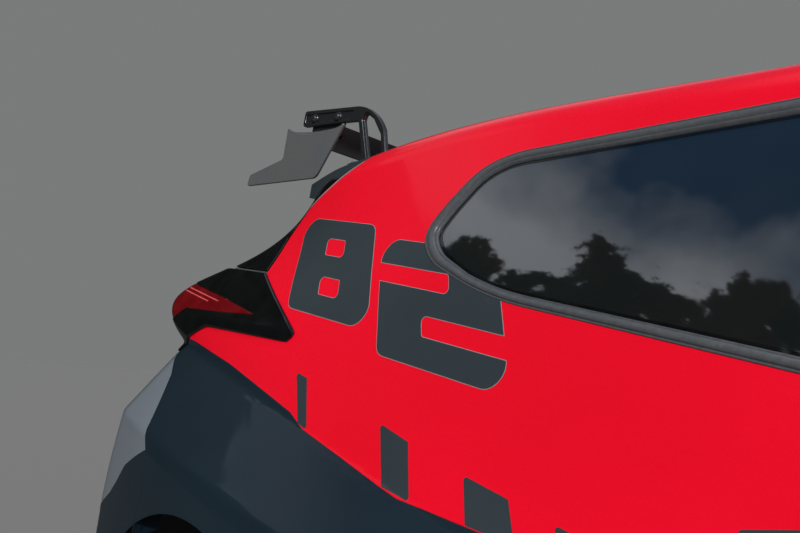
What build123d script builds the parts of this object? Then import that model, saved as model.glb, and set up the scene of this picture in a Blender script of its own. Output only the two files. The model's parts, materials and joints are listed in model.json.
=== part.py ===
"""Rear body section of a three-door rally hatchback, from behind the doors to the tail.

x runs forward, y to the car's left and z up. The origin is the middle of the four bolts that carry the
rear subframe, in the plane of the two rails' undersides. The wheels stand a little behind it.
Heights in the tables are above the road, as on a body drawing, and level() turns them into z.
All sizes are in millimetres. Right-hand pieces are drawn at negative y and mirrored for the left.
"""

import os
from math import cos, radians, sin

from build123d import *

# Main sizes
RIDE_HEIGHT = 330  # road to the rails' undersides
FRONT_X = 760  # joint plane behind the doors
WALL = 45  # whole side wall, outer and inner panel together
ROOF_WALL = 28
BUMPER_SKIN = 14
SHUT_GAP = 6  # between the tailgate and the body
SEAM = 0.5  # closed joint between fixed panels
FRONT_RUN = 30  # the blocks run on past the joint plane and are cut there
REACH = 1000  # clear outside the widest panel
BEHIND = -800  # clear behind the tail
TOP = 1700  # height above every panel
BOTTOM = 100  # height below every panel
NEAR_Y = -20  # side-view cutters start beside the centre plane
REAR_CUT_X = -450  # rear-view cutters reach forward to here

# Body outline in plan: half widths at the joint plane and at x = 0, the rear corner, the tail on the
# centre line and the corner's radius, each on a plane of its own height over the origin and slope
#        height slope  front_y mid_y corner_x corner_y tail_x radius
LOWER_BODY = [
    (150, 0.0, 795, 800, -560, 725, -602, 90),
    (390, 0.0, 846, 890, -572, 795, -622, 110),
    (590, -0.02, 860, 910, -570, 812, -618, 110),
    (733, -0.044, 858, 894, -577, 801, -622, 110),
]
SHOULDER = [
    (733, -0.044, 858, 894, -577, 801, -622, 110),
    (830, -0.125, 846, 790, -563, 701, -626, 92),
]
UPPER_BODY = [
    (830, -0.125, 846, 790, -563, 701, -626, 92),
    (1005, 0.0, 790, 725, -622, 684, -642, 55),
    (1075, 0.0, 765, 701, -500, 648, -522, 75),
    (1210, 0.0, 719, 656, -370, 612, -392, 95),
    (1480, 0.0, 617, 556, -268, 508, -290, 85),
]

# Roof crown at each station: heights on the centre line and CROWN_Y out
CROWN_Y = 580
ROOF = [
    (900, 1485, 1439),
    (350, 1432, 1382),
    (0, 1400, 1348),
    (-300, 1334, 1277),
    (-700, 1150, 1080),
]
RAIL_RADIUS = 40
RAIL_Y_MIN = 400  # the roof's side edges lie further out than this
DITCH_LOW = 1100
DITCH_FRONT_Y = 545  # joint between roof and side panel, at the joint plane
DITCH_REAR_Y = 500
MIN_CORNER = 20  # least corner radius of an inset outline

# Quarter window in side view, and each corner's radius
WINDOW = [(700, 1358), (72, 1232), (44, 1125), (500, 1031), (700, 1030)]
WINDOW_RADII = [30, 110, 34, 200, 30]
SEAL_WIDTH = 22
SEAL_DEPTH = 20
SEAL_PROUD = 3
GLASS_THICKNESS = 5
GLASS_DROP = 5  # outer face of the glass inside the body's skin
GLASS_FIT = 0.3

# Rear shut line in side view, below the hinge
SHUT_LINE = [(-205, 1290), (-326, 1198), (-344, 1130), (-344, 1056)]
HATCH_HALF = 560  # tailgate's half width below the lamps' top
HATCH_SILL = 772  # tailgate's lower edge

# Lamp cluster in side view, from its upper edge round the forward tip and back under
LAMP_OUTLINE = [(-344, 1056), (-150, 962), (-166, 946), (-440, 938), (-500, 908), (-532, 876)]
LAMP_RADII = [3, 10, 10, 60, 40, 3]
LAMP_PROUD = 5
LENS_OUTLINE = [(-296, 978), (-440, 998), (-790, 1036), (-790, 900), (-610, 925), (-552, 962), (-420, 969)]
LENS_THICKNESS = 10

# Wheel arch and bumper
ARCH_RADIUS = 378
ARCH_X = -85
ARCH_H = 300
BUMPER_SEAM = [(-292, 590), (-300, 700), (-470, 842), (-532, 876)]
BUMPER_LOW = 235
BUMPER_CENTRE_TOP = 766
SILL_TOP = 300
SILL_LOW = 200
SILL_GAP = 2  # behind the liner
SILL_INNER_Y = 700
LINER_GAP = 12  # arch edge to the liner
LINER_WALL = 6
LINER_INNER_Y = 520
LINER_LOW = 300

# Underbody
RAIL_Y = 460
RAIL_WIDTH = 70
RAIL_HEIGHT = 90
BOLT_X = 230
BOLT_RADIUS = 7.5
FLOOR_THICKNESS = 6
WELL_X = -296
WELL_RADIUS = 190
WELL_DEPTH = 80
RIB_YS = [-300, -150, 0, 150, 300]
RIB_WIDTH = 40
RIB_HEIGHT = 8
RIB_REAR_X = 0
RIB_FRONT_X = 660
REAR_PANEL_X = -505
REAR_PANEL_THICKNESS = 16
CROSSMEMBER_LENGTH = 60
CROSSMEMBER_HEIGHT = 70
CROSSMEMBER_HALF = 690
BEAM_LOW = 500
BEAM_HIGH = 600
BEAM_LENGTH = 40
BEAM_HALF = 640

# Tailgate hinge
HINGE_X = -110
HINGE_H = 1300
HINGE_Y = 400
ROOF_EDGE_RADIUS = 95
HINGE_ARM_RADIUS = 117
HINGE_ARM_DEPTH = 14
HINGE_ARM_WIDTH = 20
HINGE_PIN_RADIUS = 4
HINGE_BOSS_RADIUS = 9
HINGE_EAR = 6
HINGE_BASE_HALF = 20
HINGE_BASE_RISE = 60  # tall enough to be trimmed by the roof
EYE_ROOM = 2  # round the arm's eye, inside the base
PIN_FIT = 0.05
SIDE_FIT = 0.3

# Rear window and its side fins, in rear view
REAR_GLASS = [(-505, 1080), (505, 1080), (470, 1240), (-470, 1240)]
REAR_GLASS_RADIUS = 40
GLASS_CUT_X = -300  # the window is cut from behind as far as here
FIN_INNER_Y = 520
FIN_THICKNESS = 12
SPOILER_DECK = 14  # tailgate's skin under the spoiler is this much lower than the roof
PLATE_HALF = 270  # recess for a number plate
PLATE_LOW = 812
PLATE_HIGH = 934
PLATE_DEPTH = 12
LAMP_BAR_LOW = 955
LAMP_BAR_HIGH = 1015
LAMP_BAR_PROUD = 8
LAMP_BAR_INSET = 10  # from the tailgate's side edge

# Roof spoiler: half widths, and crowned faces as in the roof table
SPOILER_PLAN = [(-145, 596), (-330, 572), (-418, 556), (-470, 420)]
SPOILER_TOP = [
    (-100, 1382, 1326),
    (-205, 1359, 1302),
    (-320, 1338, 1280),
    (-420, 1318, 1246),
    (-560, 1298, 1212),
]
SPOILER_UNDER = [(-300, 1250, 1198), (-400, 1284, 1218), (-560, 1282, 1198)]

# Wing, in side view
WING_HALF = 571
WING_LEAD = (-342, 1372)
WING_TAIL = (-518, 1369)
WING_DIP = (-430, 1364)  # hollow of the upper face
WING_BELLY = (-410, 1345)  # lowest part of the under face
WING_TAIL_THICKNESS = 4
PLATE_THICKNESS = 6
PLATE_TOP = [(-329, 1376), (-425, 1357), (-518, 1373)]
PLATE_REST = [(-516, 1306), (-630, 1272), (-635, 1247), (-392, 1265)]

# Wing brackets: outline of the swan neck in side view
BRACKET_Y = 550
BRACKET_THICKNESS = 10
BRACKET_ARM = [(-488, 1380), (-488, 1414), (-318, 1414)]
BRACKET_ARCH = [(-262, 1396), (-228, 1362)]
BRACKET_FEET = [(-204, 1300), (-268, 1290)]
BRACKET_LEG_TOP = [(-334, 1380)]
BRACKET_WINDOW = [(-314, 1402), (-276, 1390), (-240, 1356), (-222, 1290), (-252, 1290), (-318, 1380)]
BRACKET_POCKET = [(-482, 1386), (-482, 1408), (-326, 1408), (-340, 1386)]
POCKET_DEPTH = 3
POCKET_BOSS = 11
PIVOT = (-377, 1396)
SLOT_BOLT_X = -453
WING_BOLT_RADIUS = 4
SLOT_FIT = 0.3
BOLT_HEAD_RADIUS = 8
BOLT_HEAD = 4
TILT = 6  # degrees that the wing's tail can drop
FOOT_HALF = 18
FOOT_FRONT_X = -212
FOOT_REAR_X = -300
FOOT_THICKNESS = 5
TAB_THICKNESS = 6
TAB_GAP = 0.3
TAB_FRONT_X = -364
TAB_REAR_X = -466
TAB_TOP = 1408
TAB_LOW = 1325  # inside the wing's section
TAB_CORNER = 8

os.makedirs("parts", exist_ok=True)


def level(height):
    return height - RIDE_HEIGHT


def at(point):
    return point[0], level(point[1])


def save(piece, label):
    piece.label = label
    export_step(piece, f"parts/{label}.step")
    print(f"{label}: {piece.volume / 1e6:.3f} litres, {len(piece.solids())} solid, {piece.is_valid}")


def save_pair(piece, label):
    save(piece, f"{label}_right")
    with BuildPart() as left:
        mirror(piece, about=Plane.XZ)
    save(left.part, f"{label}_left")


def body_outline(row, inset):
    height, slope, front_y, mid_y, corner_x, corner_y, tail_x, radius = row
    front_x = FRONT_X + FRONT_RUN
    plane = Plane(origin=(0, 0, level(height)), x_dir=(1, 0, slope), z_dir=(-slope, 0, 1))
    with BuildSketch(plane) as sketch:
        with BuildLine():
            right = ThreePointArc(
                (front_x, -front_y + inset), (0, -mid_y + inset), (corner_x + inset, -corner_y + inset)
            )
            tail = ThreePointArc(right @ 1, (tail_x + inset, 0), (corner_x + inset, corner_y - inset))
            left = ThreePointArc(tail @ 1, (0, mid_y - inset), (front_x, front_y - inset))
            Line(left @ 1, right @ 0)
        make_face()
        fillet(sketch.vertices().group_by(Axis.X)[0], max(radius - inset, MIN_CORNER))
    return sketch.sketch.face()


def crowned(table, drop=0):
    """Everything under a crowned surface that is lowered by drop."""
    with BuildPart() as under:
        for x, centre, edge in table:
            fall = (centre - edge) * (REACH / CROWN_Y) ** 2
            with BuildSketch(Plane.YZ.offset(x)):
                with BuildLine():
                    crown = ThreePointArc(
                        (-REACH, level(centre - fall) - drop),
                        (0, level(centre) - drop),
                        (REACH, level(centre - fall) - drop),
                    )
                    Polyline(crown @ 1, (REACH, level(BOTTOM)), (-REACH, level(BOTTOM)), crown @ 0)
                make_face()
        loft()
    return under.part


def body_block(inset=0, roof_drop=0, rail_radius=0):
    """The whole body as one solid, inset from its skin all round but at the joint plane."""
    roof = crowned(ROOF, roof_drop)
    bands = [[body_outline(row, inset) for row in band] for band in (LOWER_BODY, SHOULDER, UPPER_BODY)]
    with BuildPart() as block:
        for band in bands:
            loft(band)
        add(roof, mode=Mode.INTERSECT)
        if rail_radius:
            roof_edges = block.faces().sort_by(Axis.Z)[-1].edges()
            fillet([edge for edge in roof_edges if edge.length > FRONT_X and abs(edge.center().Y) > RAIL_Y_MIN],
                   rail_radius)
    return block.part


def prism(plane, depth, points, radii=None, grow=0):
    """Solid with a closed outline on a plane; its points are along the plane's x and heights."""
    with BuildPart() as solid:
        with BuildSketch(plane):
            with BuildLine():
                if radii:
                    FilletPolyline(*[at(p) for p in points], radius=radii, close=True)
                else:
                    Polyline(*[at(p) for p in points], close=True)
            make_face()
            if grow:
                offset(amount=grow, kind=Kind.INTERSECTION)
        extrude(amount=depth)
    return solid.part


def side_prism(points, near_y, far_y, radii=None, grow=0):
    return prism(Plane.XZ.offset(-near_y), near_y - far_y, points, radii, grow)


def rear_prism(points, rear_x, front_x, radii=None, grow=0):
    return prism(Plane.YZ.offset(rear_x), front_x - rear_x, points, radii, grow)


def rear_box(half_y, low, high, rear_x, front_x):
    return rear_prism([(-half_y, low), (half_y, low), (half_y, high), (-half_y, high)], rear_x, front_x)


def plan_prism(points, low, high):
    with BuildPart() as solid:
        with BuildSketch(Plane.XY.offset(level(low))):
            with BuildLine():
                Polyline(*points, close=True)
            make_face()
        extrude(amount=high - low)
    return solid.part


def ahead_of_shut_line(grow=0):
    """The side view of everything fixed ahead of the tailgate, round-ended about the hinge."""
    with BuildPart() as solid:
        with BuildSketch(Plane.XZ.offset(-REACH)):
            with BuildLine():
                Polyline(
                    (FRONT_X, level(TOP)), (HINGE_X, level(TOP)), (HINGE_X, level(HINGE_H)),
                    *[at(p) for p in SHUT_LINE],
                    (SHUT_LINE[-1][0], level(BOTTOM)), (FRONT_X, level(BOTTOM)), close=True,
                )
            make_face()
            with Locations(at((HINGE_X, HINGE_H))):
                Circle(ROOF_EDGE_RADIUS)
            if grow:
                offset(amount=grow, kind=Kind.INTERSECTION)
        extrude(amount=2 * REACH)
    return solid.part


def arch_cylinder(radius, near_y, far_y):
    with BuildPart() as solid:
        with BuildSketch(Plane.XZ.offset(-near_y)):
            with Locations(at((ARCH_X, ARCH_H))):
                Circle(radius)
        extrude(amount=near_y - far_y)
    return solid.part


# Blocks that the panels are cut from
skin = body_block(0, 0, RAIL_RADIUS)
cavity = body_block(WALL, ROOF_WALL)
fixed_zone = ahead_of_shut_line()
hatch_clear = ahead_of_shut_line(SHUT_GAP)
whole_front = rear_box(REACH, BOTTOM, TOP, BEHIND, FRONT_X)
ditch = plan_prism(
    [(FRONT_X, -DITCH_FRONT_Y), (FRONT_X, DITCH_FRONT_Y), (BEHIND, DITCH_REAR_Y), (BEHIND, -DITCH_REAR_Y)],
    DITCH_LOW, TOP,
)
ditch_seam = plan_prism(
    [
        (FRONT_X, -DITCH_FRONT_Y - SEAM), (FRONT_X, DITCH_FRONT_Y + SEAM),
        (BEHIND, DITCH_REAR_Y + SEAM), (BEHIND, -DITCH_REAR_Y - SEAM),
    ],
    DITCH_LOW, TOP,
)
lamp_points = LAMP_OUTLINE + [(BEHIND, LAMP_OUTLINE[-1][1]), (BEHIND, LAMP_OUTLINE[0][1])]
lamp_radii = LAMP_RADII + [3, 3]
lamp_side = -HATCH_HALF - SHUT_GAP
bumper_points = (
    [(BUMPER_SEAM[0][0], BUMPER_LOW)] + BUMPER_SEAM
    + [(BEHIND, BUMPER_SEAM[-1][1]), (BEHIND, BUMPER_LOW)]
)

with BuildPart() as shell:
    add(skin)
    add(cavity, mode=Mode.SUBTRACT)
    add(whole_front, mode=Mode.INTERSECT)

# Side panels, from the roof ditch down to the sill, with window opening and wheel arch
with BuildPart() as side_panel:
    add(shell.part)
    add(side_prism([(FRONT_X, TOP), (BEHIND, TOP), (BEHIND, SILL_TOP), (FRONT_X, SILL_TOP)], NEAR_Y, -REACH),
        mode=Mode.INTERSECT)
    add(ditch_seam, mode=Mode.SUBTRACT)
    add(rear_box(REACH, LAMP_OUTLINE[0][1], TOP, BEHIND, 0) - fixed_zone, mode=Mode.SUBTRACT)
    add(side_prism(lamp_points, NEAR_Y, -REACH, lamp_radii), mode=Mode.SUBTRACT)
    add(side_prism(bumper_points, NEAR_Y, -REACH), mode=Mode.SUBTRACT)
    add(rear_box(HATCH_HALF + SHUT_GAP, BOTTOM, LAMP_OUTLINE[0][1], BEHIND, REAR_CUT_X), mode=Mode.SUBTRACT)
    add(side_prism(WINDOW, NEAR_Y, -REACH, WINDOW_RADII), mode=Mode.SUBTRACT)
    add(arch_cylinder(ARCH_RADIUS, NEAR_Y, -REACH), mode=Mode.SUBTRACT)
save_pair(side_panel.part, "side_panel")

# Roof panel between the ditches, ending in a round edge about the tailgate's hinge line
with BuildPart() as roof_panel:
    add(shell.part)
    add(ditch, mode=Mode.INTERSECT)
    add(fixed_zone, mode=Mode.INTERSECT)
save(roof_panel.part, "roof_panel")

# Quarter windows: a rubber moulding in the opening and the pane inside it
with BuildPart() as window_seal:
    add(body_block(-SEAL_PROUD))
    add(body_block(SEAL_DEPTH), mode=Mode.SUBTRACT)
    add(side_prism(WINDOW, NEAR_Y, -REACH, WINDOW_RADII), mode=Mode.INTERSECT)
    add(side_prism(WINDOW, NEAR_Y, -REACH, WINDOW_RADII, -SEAL_WIDTH), mode=Mode.SUBTRACT)
save_pair(window_seal.part, "window_seal")

with BuildPart() as quarter_glass:
    add(body_block(GLASS_DROP))
    add(body_block(GLASS_DROP + GLASS_THICKNESS), mode=Mode.SUBTRACT)
    add(side_prism(WINDOW, NEAR_Y, -REACH, WINDOW_RADII, -SEAL_WIDTH - GLASS_FIT), mode=Mode.INTERSECT)
save_pair(quarter_glass.part, "quarter_glass")

# Tail lamps: a black cluster that points forward along the side, with a red lens let into it
lamp_zone = side_prism(lamp_points, lamp_side, -REACH, lamp_radii, -SEAM)
with BuildPart() as lamp_lens:
    add(body_block(-LAMP_PROUD))
    add(body_block(LENS_THICKNESS - LAMP_PROUD), mode=Mode.SUBTRACT)
    add(lamp_zone, mode=Mode.INTERSECT)
    add(side_prism(LENS_OUTLINE, lamp_side, -REACH), mode=Mode.INTERSECT)
with BuildPart() as lamp_housing:
    add(body_block(-LAMP_PROUD))
    add(cavity, mode=Mode.SUBTRACT)
    add(lamp_zone, mode=Mode.INTERSECT)
    add(lamp_lens.part, mode=Mode.SUBTRACT)
save_pair(lamp_housing.part, "lamp_housing")
save_pair(lamp_lens.part, "lamp_lens")

# Bumper
with BuildPart() as bumper:
    add(skin)
    add(side_prism(bumper_points, REACH, -REACH, None, -SEAM), mode=Mode.INTERSECT)
    add(body_block(BUMPER_SKIN), mode=Mode.SUBTRACT)
    add(rear_box(HATCH_HALF + SHUT_GAP, BUMPER_CENTRE_TOP, TOP, BEHIND, BUMPER_SEAM[0][0]), mode=Mode.SUBTRACT)
    add(arch_cylinder(ARCH_RADIUS, REACH, -REACH), mode=Mode.SUBTRACT)
save(bumper.part, "rear_bumper")

# Sills, box sections behind the doors
liner_outer = ARCH_RADIUS + LINER_GAP + LINER_WALL
sill_start = ARCH_X + liner_outer + SILL_GAP
sill_shelf = RIDE_HEIGHT + RAIL_HEIGHT  # sills end where the floor lies on them
with BuildPart() as sill:
    add(skin)
    add(side_prism(
        [(sill_start, SILL_LOW), (FRONT_X, SILL_LOW),
         (FRONT_X, SILL_TOP - SEAM), (sill_start, SILL_TOP - SEAM)],
        -SILL_INNER_Y, -REACH), mode=Mode.INTERSECT)
with BuildPart() as sill_upper:
    add(cavity)
    add(side_prism(
        [(sill_start, SILL_TOP - SEAM), (FRONT_X, SILL_TOP - SEAM),
         (FRONT_X, sill_shelf), (sill_start, sill_shelf)],
        -SILL_INNER_Y, -REACH), mode=Mode.INTERSECT)
with BuildPart() as whole_sill:
    add(sill.part)
    add(sill_upper.part)
save_pair(whole_sill.part, "sill")

# Inner arches
with BuildPart() as liner:
    add(arch_cylinder(liner_outer, -LINER_INNER_Y, -REACH))
    add(arch_cylinder(liner_outer - LINER_WALL, -LINER_INNER_Y - LINER_WALL, -REACH), mode=Mode.SUBTRACT)
    add(rear_box(REACH, LINER_LOW, TOP, BEHIND, FRONT_X), mode=Mode.INTERSECT)
    add(cavity, mode=Mode.INTERSECT)
save_pair(liner.part, "inner_arch")

# Chassis rails with the bolt holes for the rear subframe
rail_length = FRONT_X - REAR_PANEL_X
with BuildPart() as rail:
    with BuildSketch(Plane.XY):
        with Locations(((FRONT_X + REAR_PANEL_X) / 2, -RAIL_Y)):
            Rectangle(rail_length, RAIL_WIDTH)
    extrude(amount=RAIL_HEIGHT)
    with Locations((BOLT_X, -RAIL_Y, RAIL_HEIGHT), (-BOLT_X, -RAIL_Y, RAIL_HEIGHT)):
        Hole(BOLT_RADIUS)
save_pair(rail.part, "chassis_rail")

# Floor with stiffening ribs and a well for the spare wheel
floor_top = RIDE_HEIGHT + RAIL_HEIGHT + FLOOR_THICKNESS
with BuildPart() as floor:
    add(cavity)
    add(rear_box(REACH, floor_top - FLOOR_THICKNESS, floor_top, REAR_PANEL_X, FRONT_X), mode=Mode.INTERSECT)
    add(arch_cylinder(liner_outer, -LINER_INNER_Y, -REACH), mode=Mode.SUBTRACT)
    add(arch_cylinder(liner_outer, REACH, LINER_INNER_Y), mode=Mode.SUBTRACT)
    for radius, low, mode in (
        (WELL_RADIUS + FLOOR_THICKNESS, floor_top - FLOOR_THICKNESS - WELL_DEPTH, Mode.ADD),
        (WELL_RADIUS, floor_top - WELL_DEPTH, Mode.SUBTRACT),
    ):
        with BuildSketch(Plane.XY.offset(level(low))):
            with Locations((WELL_X, 0)):
                Circle(radius)
        extrude(amount=floor_top - low, mode=mode)
    for y in RIB_YS:
        with BuildSketch(Plane.XY.offset(level(floor_top))):
            with Locations(((RIB_FRONT_X + RIB_REAR_X) / 2, y)):
                SlotOverall(RIB_FRONT_X - RIB_REAR_X, RIB_WIDTH)
        extrude(amount=RIB_HEIGHT)
save(floor.part, "floor_pan")

# Crossmember behind the seats' place, and rear panel with its bumper beam
with BuildPart() as crossmember:
    add(rear_box(CROSSMEMBER_HALF, floor_top, floor_top + CROSSMEMBER_HEIGHT,
                 FRONT_X - CROSSMEMBER_LENGTH, FRONT_X))
save(crossmember.part, "crossmember")

with BuildPart() as rear_panel:
    add(cavity)
    add(rear_box(REACH, RIDE_HEIGHT, BUMPER_CENTRE_TOP, REAR_PANEL_X - REAR_PANEL_THICKNESS, REAR_PANEL_X),
        mode=Mode.INTERSECT)
save(rear_panel.part, "rear_panel")

beam_front = REAR_PANEL_X - REAR_PANEL_THICKNESS
with BuildPart() as beam:
    add(rear_box(BEAM_HALF, BEAM_LOW, BEAM_HIGH, beam_front - BEAM_LENGTH, beam_front))
save(beam.part, "bumper_beam")

# Tailgate hinges: an eared base under the roof and a swan-necked arm that drops round the roof's edge


def hinge_circle(radius, near_y, far_y):
    with BuildPart() as solid:
        with BuildSketch(Plane.XZ.offset(-near_y)):
            with Locations(at((HINGE_X, HINGE_H))):
                Circle(radius)
        extrude(amount=near_y - far_y)
    return solid.part


def hinge_block(front, rear, low, high, near_y, far_y):
    """Block beside the hinge line, its sides given from that line."""
    x, h = HINGE_X, HINGE_H
    return side_prism([(x + front, h + low), (x + front, h + high), (x + rear, h + high), (x + rear, h + low)],
                      near_y, far_y)


arm_near = -HINGE_Y + HINGE_ARM_WIDTH / 2
arm_far = -HINGE_Y - HINGE_ARM_WIDTH / 2
ear_near = arm_near + SIDE_FIT + HINGE_EAR
ear_far = arm_far - SIDE_FIT - HINGE_EAR
ear_top = HINGE_BOSS_RADIUS + EYE_ROOM
with BuildPart() as hinge_base:
    add(hinge_block(HINGE_BASE_HALF, -HINGE_BASE_HALF, ear_top, HINGE_BASE_RISE, ear_near, ear_far))
    add(hinge_block(HINGE_BOSS_RADIUS, -HINGE_BOSS_RADIUS, 0, ear_top, ear_near, ear_far))
    add(hinge_circle(HINGE_BOSS_RADIUS, ear_near, ear_far))
    add(hinge_block(HINGE_BOSS_RADIUS + EYE_ROOM, -HINGE_BOSS_RADIUS - EYE_ROOM, -HINGE_BOSS_RADIUS, ear_top,
                    arm_near + SIDE_FIT, arm_far - SIDE_FIT), mode=Mode.SUBTRACT)
    add(hinge_circle(HINGE_PIN_RADIUS, ear_near, ear_far))
    add(cavity, mode=Mode.INTERSECT)
save_pair(hinge_base.part, "hinge_base")

arm_outer = HINGE_ARM_RADIUS + HINGE_ARM_DEPTH / 2
arm_inner = HINGE_ARM_RADIUS - HINGE_ARM_DEPTH / 2
with BuildPart() as hinge_arm:
    add(hinge_circle(arm_outer, arm_near, arm_far))
    add(hinge_circle(arm_inner, arm_near, arm_far), mode=Mode.SUBTRACT)
    add(hinge_block(-HINGE_ARM_DEPTH / 2, -2 * arm_outer, -2 * arm_outer, arm_outer, arm_near, arm_far),
        mode=Mode.INTERSECT)
    add(hinge_block(HINGE_ARM_DEPTH / 2, -HINGE_ARM_DEPTH / 2, -arm_outer, 0, arm_near, arm_far))
    add(hinge_circle(HINGE_BOSS_RADIUS, arm_near, arm_far))
    add(hinge_circle(HINGE_PIN_RADIUS + PIN_FIT, arm_near, arm_far), mode=Mode.SUBTRACT)
    add(cavity, mode=Mode.INTERSECT)
save_pair(hinge_arm.part, "hinge_arm")

# Tailgate: frame, rear glass, side fins and lamp bar
deck = crowned(ROOF, SPOILER_DECK)
with BuildPart() as hatch_zone:
    add(rear_box(REACH, LAMP_OUTLINE[0][1] + SHUT_GAP, TOP, BEHIND, HINGE_X))
    add(rear_box(HATCH_HALF, HATCH_SILL, LAMP_OUTLINE[0][1] + 2 * SHUT_GAP, BEHIND, REAR_CUT_X))
    add(hatch_clear, mode=Mode.SUBTRACT)
    add(deck, mode=Mode.INTERSECT)
fin_skin = body_block(FIN_THICKNESS)
with BuildPart() as fin:
    add(skin)
    add(fin_skin, mode=Mode.SUBTRACT)
    add(hatch_zone.part, mode=Mode.INTERSECT)
    add(rear_prism([(-REACH, LAMP_OUTLINE[0][1]), (-FIN_INNER_Y, LAMP_OUTLINE[0][1]), (-FIN_INNER_Y, TOP),
                    (-REACH, TOP)], BEHIND, 0), mode=Mode.INTERSECT)
save_pair(fin.part, "window_fin")
with BuildPart() as tailgate:
    add(shell.part)
    add(hatch_zone.part, mode=Mode.INTERSECT)
    add(fin.part, mode=Mode.SUBTRACT)
    add(mirror(fin.part, about=Plane.XZ), mode=Mode.SUBTRACT)
    add(rear_prism(REAR_GLASS, BEHIND, GLASS_CUT_X, REAR_GLASS_RADIUS), mode=Mode.SUBTRACT)
    add(rear_box(PLATE_HALF, PLATE_LOW, PLATE_HIGH, BEHIND, REAR_CUT_X) - body_block(PLATE_DEPTH),
        mode=Mode.SUBTRACT)
tailgate_frame = tailgate.solids().sort_by(SortBy.VOLUME)[-1]  # the fins' own blocks are left beside it
save(tailgate_frame, "tailgate_frame")

with BuildPart() as rear_glass:
    add(skin)
    add(body_block(GLASS_THICKNESS), mode=Mode.SUBTRACT)
    add(rear_prism(REAR_GLASS, BEHIND, GLASS_CUT_X, REAR_GLASS_RADIUS, -GLASS_FIT), mode=Mode.INTERSECT)
save(rear_glass.part, "rear_glass")

with BuildPart() as lamp_bar:
    add(body_block(-LAMP_BAR_PROUD))
    add(skin, mode=Mode.SUBTRACT)
    add(rear_box(HATCH_HALF - LAMP_BAR_INSET, LAMP_BAR_LOW, LAMP_BAR_HIGH, BEHIND, REAR_CUT_X),
        mode=Mode.INTERSECT)
save(lamp_bar.part, "lamp_bar")

# Roof spoiler on the tailgate's deck
with BuildPart() as tailgate_block:
    add(skin)
    add(deck, mode=Mode.INTERSECT)
spoiler_face = crowned(SPOILER_TOP)
with BuildPart() as spoiler:
    add(plan_prism(SPOILER_PLAN + [(x, -y) for x, y in reversed(SPOILER_PLAN)], DITCH_LOW, TOP))
    add(spoiler_face, mode=Mode.INTERSECT)
    add(crowned(SPOILER_UNDER), mode=Mode.SUBTRACT)
    add(hatch_clear, mode=Mode.SUBTRACT)
    add(tailgate_block.part, mode=Mode.SUBTRACT)
save(spoiler.part, "roof_spoiler")

# Wing: inverted section between two boot-shaped end plates
with BuildPart() as wing:
    with BuildSketch(Plane.XZ.offset(-WING_HALF + PLATE_THICKNESS)):
        with BuildLine():
            upper = ThreePointArc(at(WING_LEAD), at(WING_DIP), at(WING_TAIL))
            tail = Line(at(WING_TAIL), (WING_TAIL[0] + 1, level(WING_TAIL[1]) - WING_TAIL_THICKNESS))
            ThreePointArc(tail @ 1, at(WING_BELLY), at(WING_LEAD))
        make_face()
    extrude(amount=2 * (WING_HALF - PLATE_THICKNESS))
save(wing.part, "wing_plane")

with BuildPart() as end_plate:
    with BuildSketch(Plane.XZ.offset(WING_HALF - PLATE_THICKNESS)):
        with BuildLine():
            top = ThreePointArc(*[at(p) for p in PLATE_TOP])
            Polyline(top @ 1, *[at(p) for p in PLATE_REST], top @ 0)
        make_face()
    extrude(amount=PLATE_THICKNESS)
save_pair(end_plate.part, "end_plate")

# Swan-neck brackets that stand on the spoiler and hold the wing from above
bracket_near = -BRACKET_Y + BRACKET_THICKNESS / 2
bracket_far = -BRACKET_Y - BRACKET_THICKNESS / 2
slot_reach = PIVOT[0] - SLOT_BOLT_X
with BuildPart() as bracket:
    with BuildSketch(Plane.XZ.offset(-bracket_near)):
        with BuildLine():
            arm = Polyline(*[at(p) for p in BRACKET_ARM])
            arch = ThreePointArc(arm @ 1, *[at(p) for p in BRACKET_ARCH])
            Polyline(arch @ 1, *[at(p) for p in BRACKET_FEET + BRACKET_LEG_TOP + BRACKET_ARM[:1]])
        make_face()
        with BuildLine():
            Polyline(*[at(p) for p in BRACKET_WINDOW], close=True)
        make_face(mode=Mode.SUBTRACT)
        with Locations(at(PIVOT)):
            Circle(WING_BOLT_RADIUS + PIN_FIT, mode=Mode.SUBTRACT)
        with Locations(at((PIVOT[0] - slot_reach * cos(radians(TILT / 2)),
                           PIVOT[1] - slot_reach * sin(radians(TILT / 2))))):
            SlotCenterToCenter(slot_reach * radians(TILT), 2 * (WING_BOLT_RADIUS + SLOT_FIT),
                               rotation=90 + TILT / 2, mode=Mode.SUBTRACT)
    extrude(amount=BRACKET_THICKNESS)
    with BuildSketch(Plane.XZ.offset(-bracket_far - POCKET_DEPTH)):
        with BuildLine():
            Polyline(*[at(p) for p in BRACKET_POCKET], close=True)
        make_face()
        for x in (PIVOT[0], SLOT_BOLT_X):
            with Locations(at((x, PIVOT[1]))):
                Circle(POCKET_BOSS, mode=Mode.SUBTRACT)
    extrude(amount=POCKET_DEPTH, mode=Mode.SUBTRACT)
    add(spoiler_face, mode=Mode.SUBTRACT)
with BuildPart() as foot:
    add(crowned(SPOILER_TOP, -FOOT_THICKNESS))
    add(spoiler_face, mode=Mode.SUBTRACT)
    add(side_prism(
        [(FOOT_FRONT_X, DITCH_LOW), (FOOT_FRONT_X, TOP), (FOOT_REAR_X, TOP), (FOOT_REAR_X, DITCH_LOW)],
        -BRACKET_Y + FOOT_HALF, -BRACKET_Y - FOOT_HALF), mode=Mode.INTERSECT)
with BuildPart() as whole_bracket:
    add(bracket.part)
    add(foot.part)
save_pair(whole_bracket.part, "wing_bracket")

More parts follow.
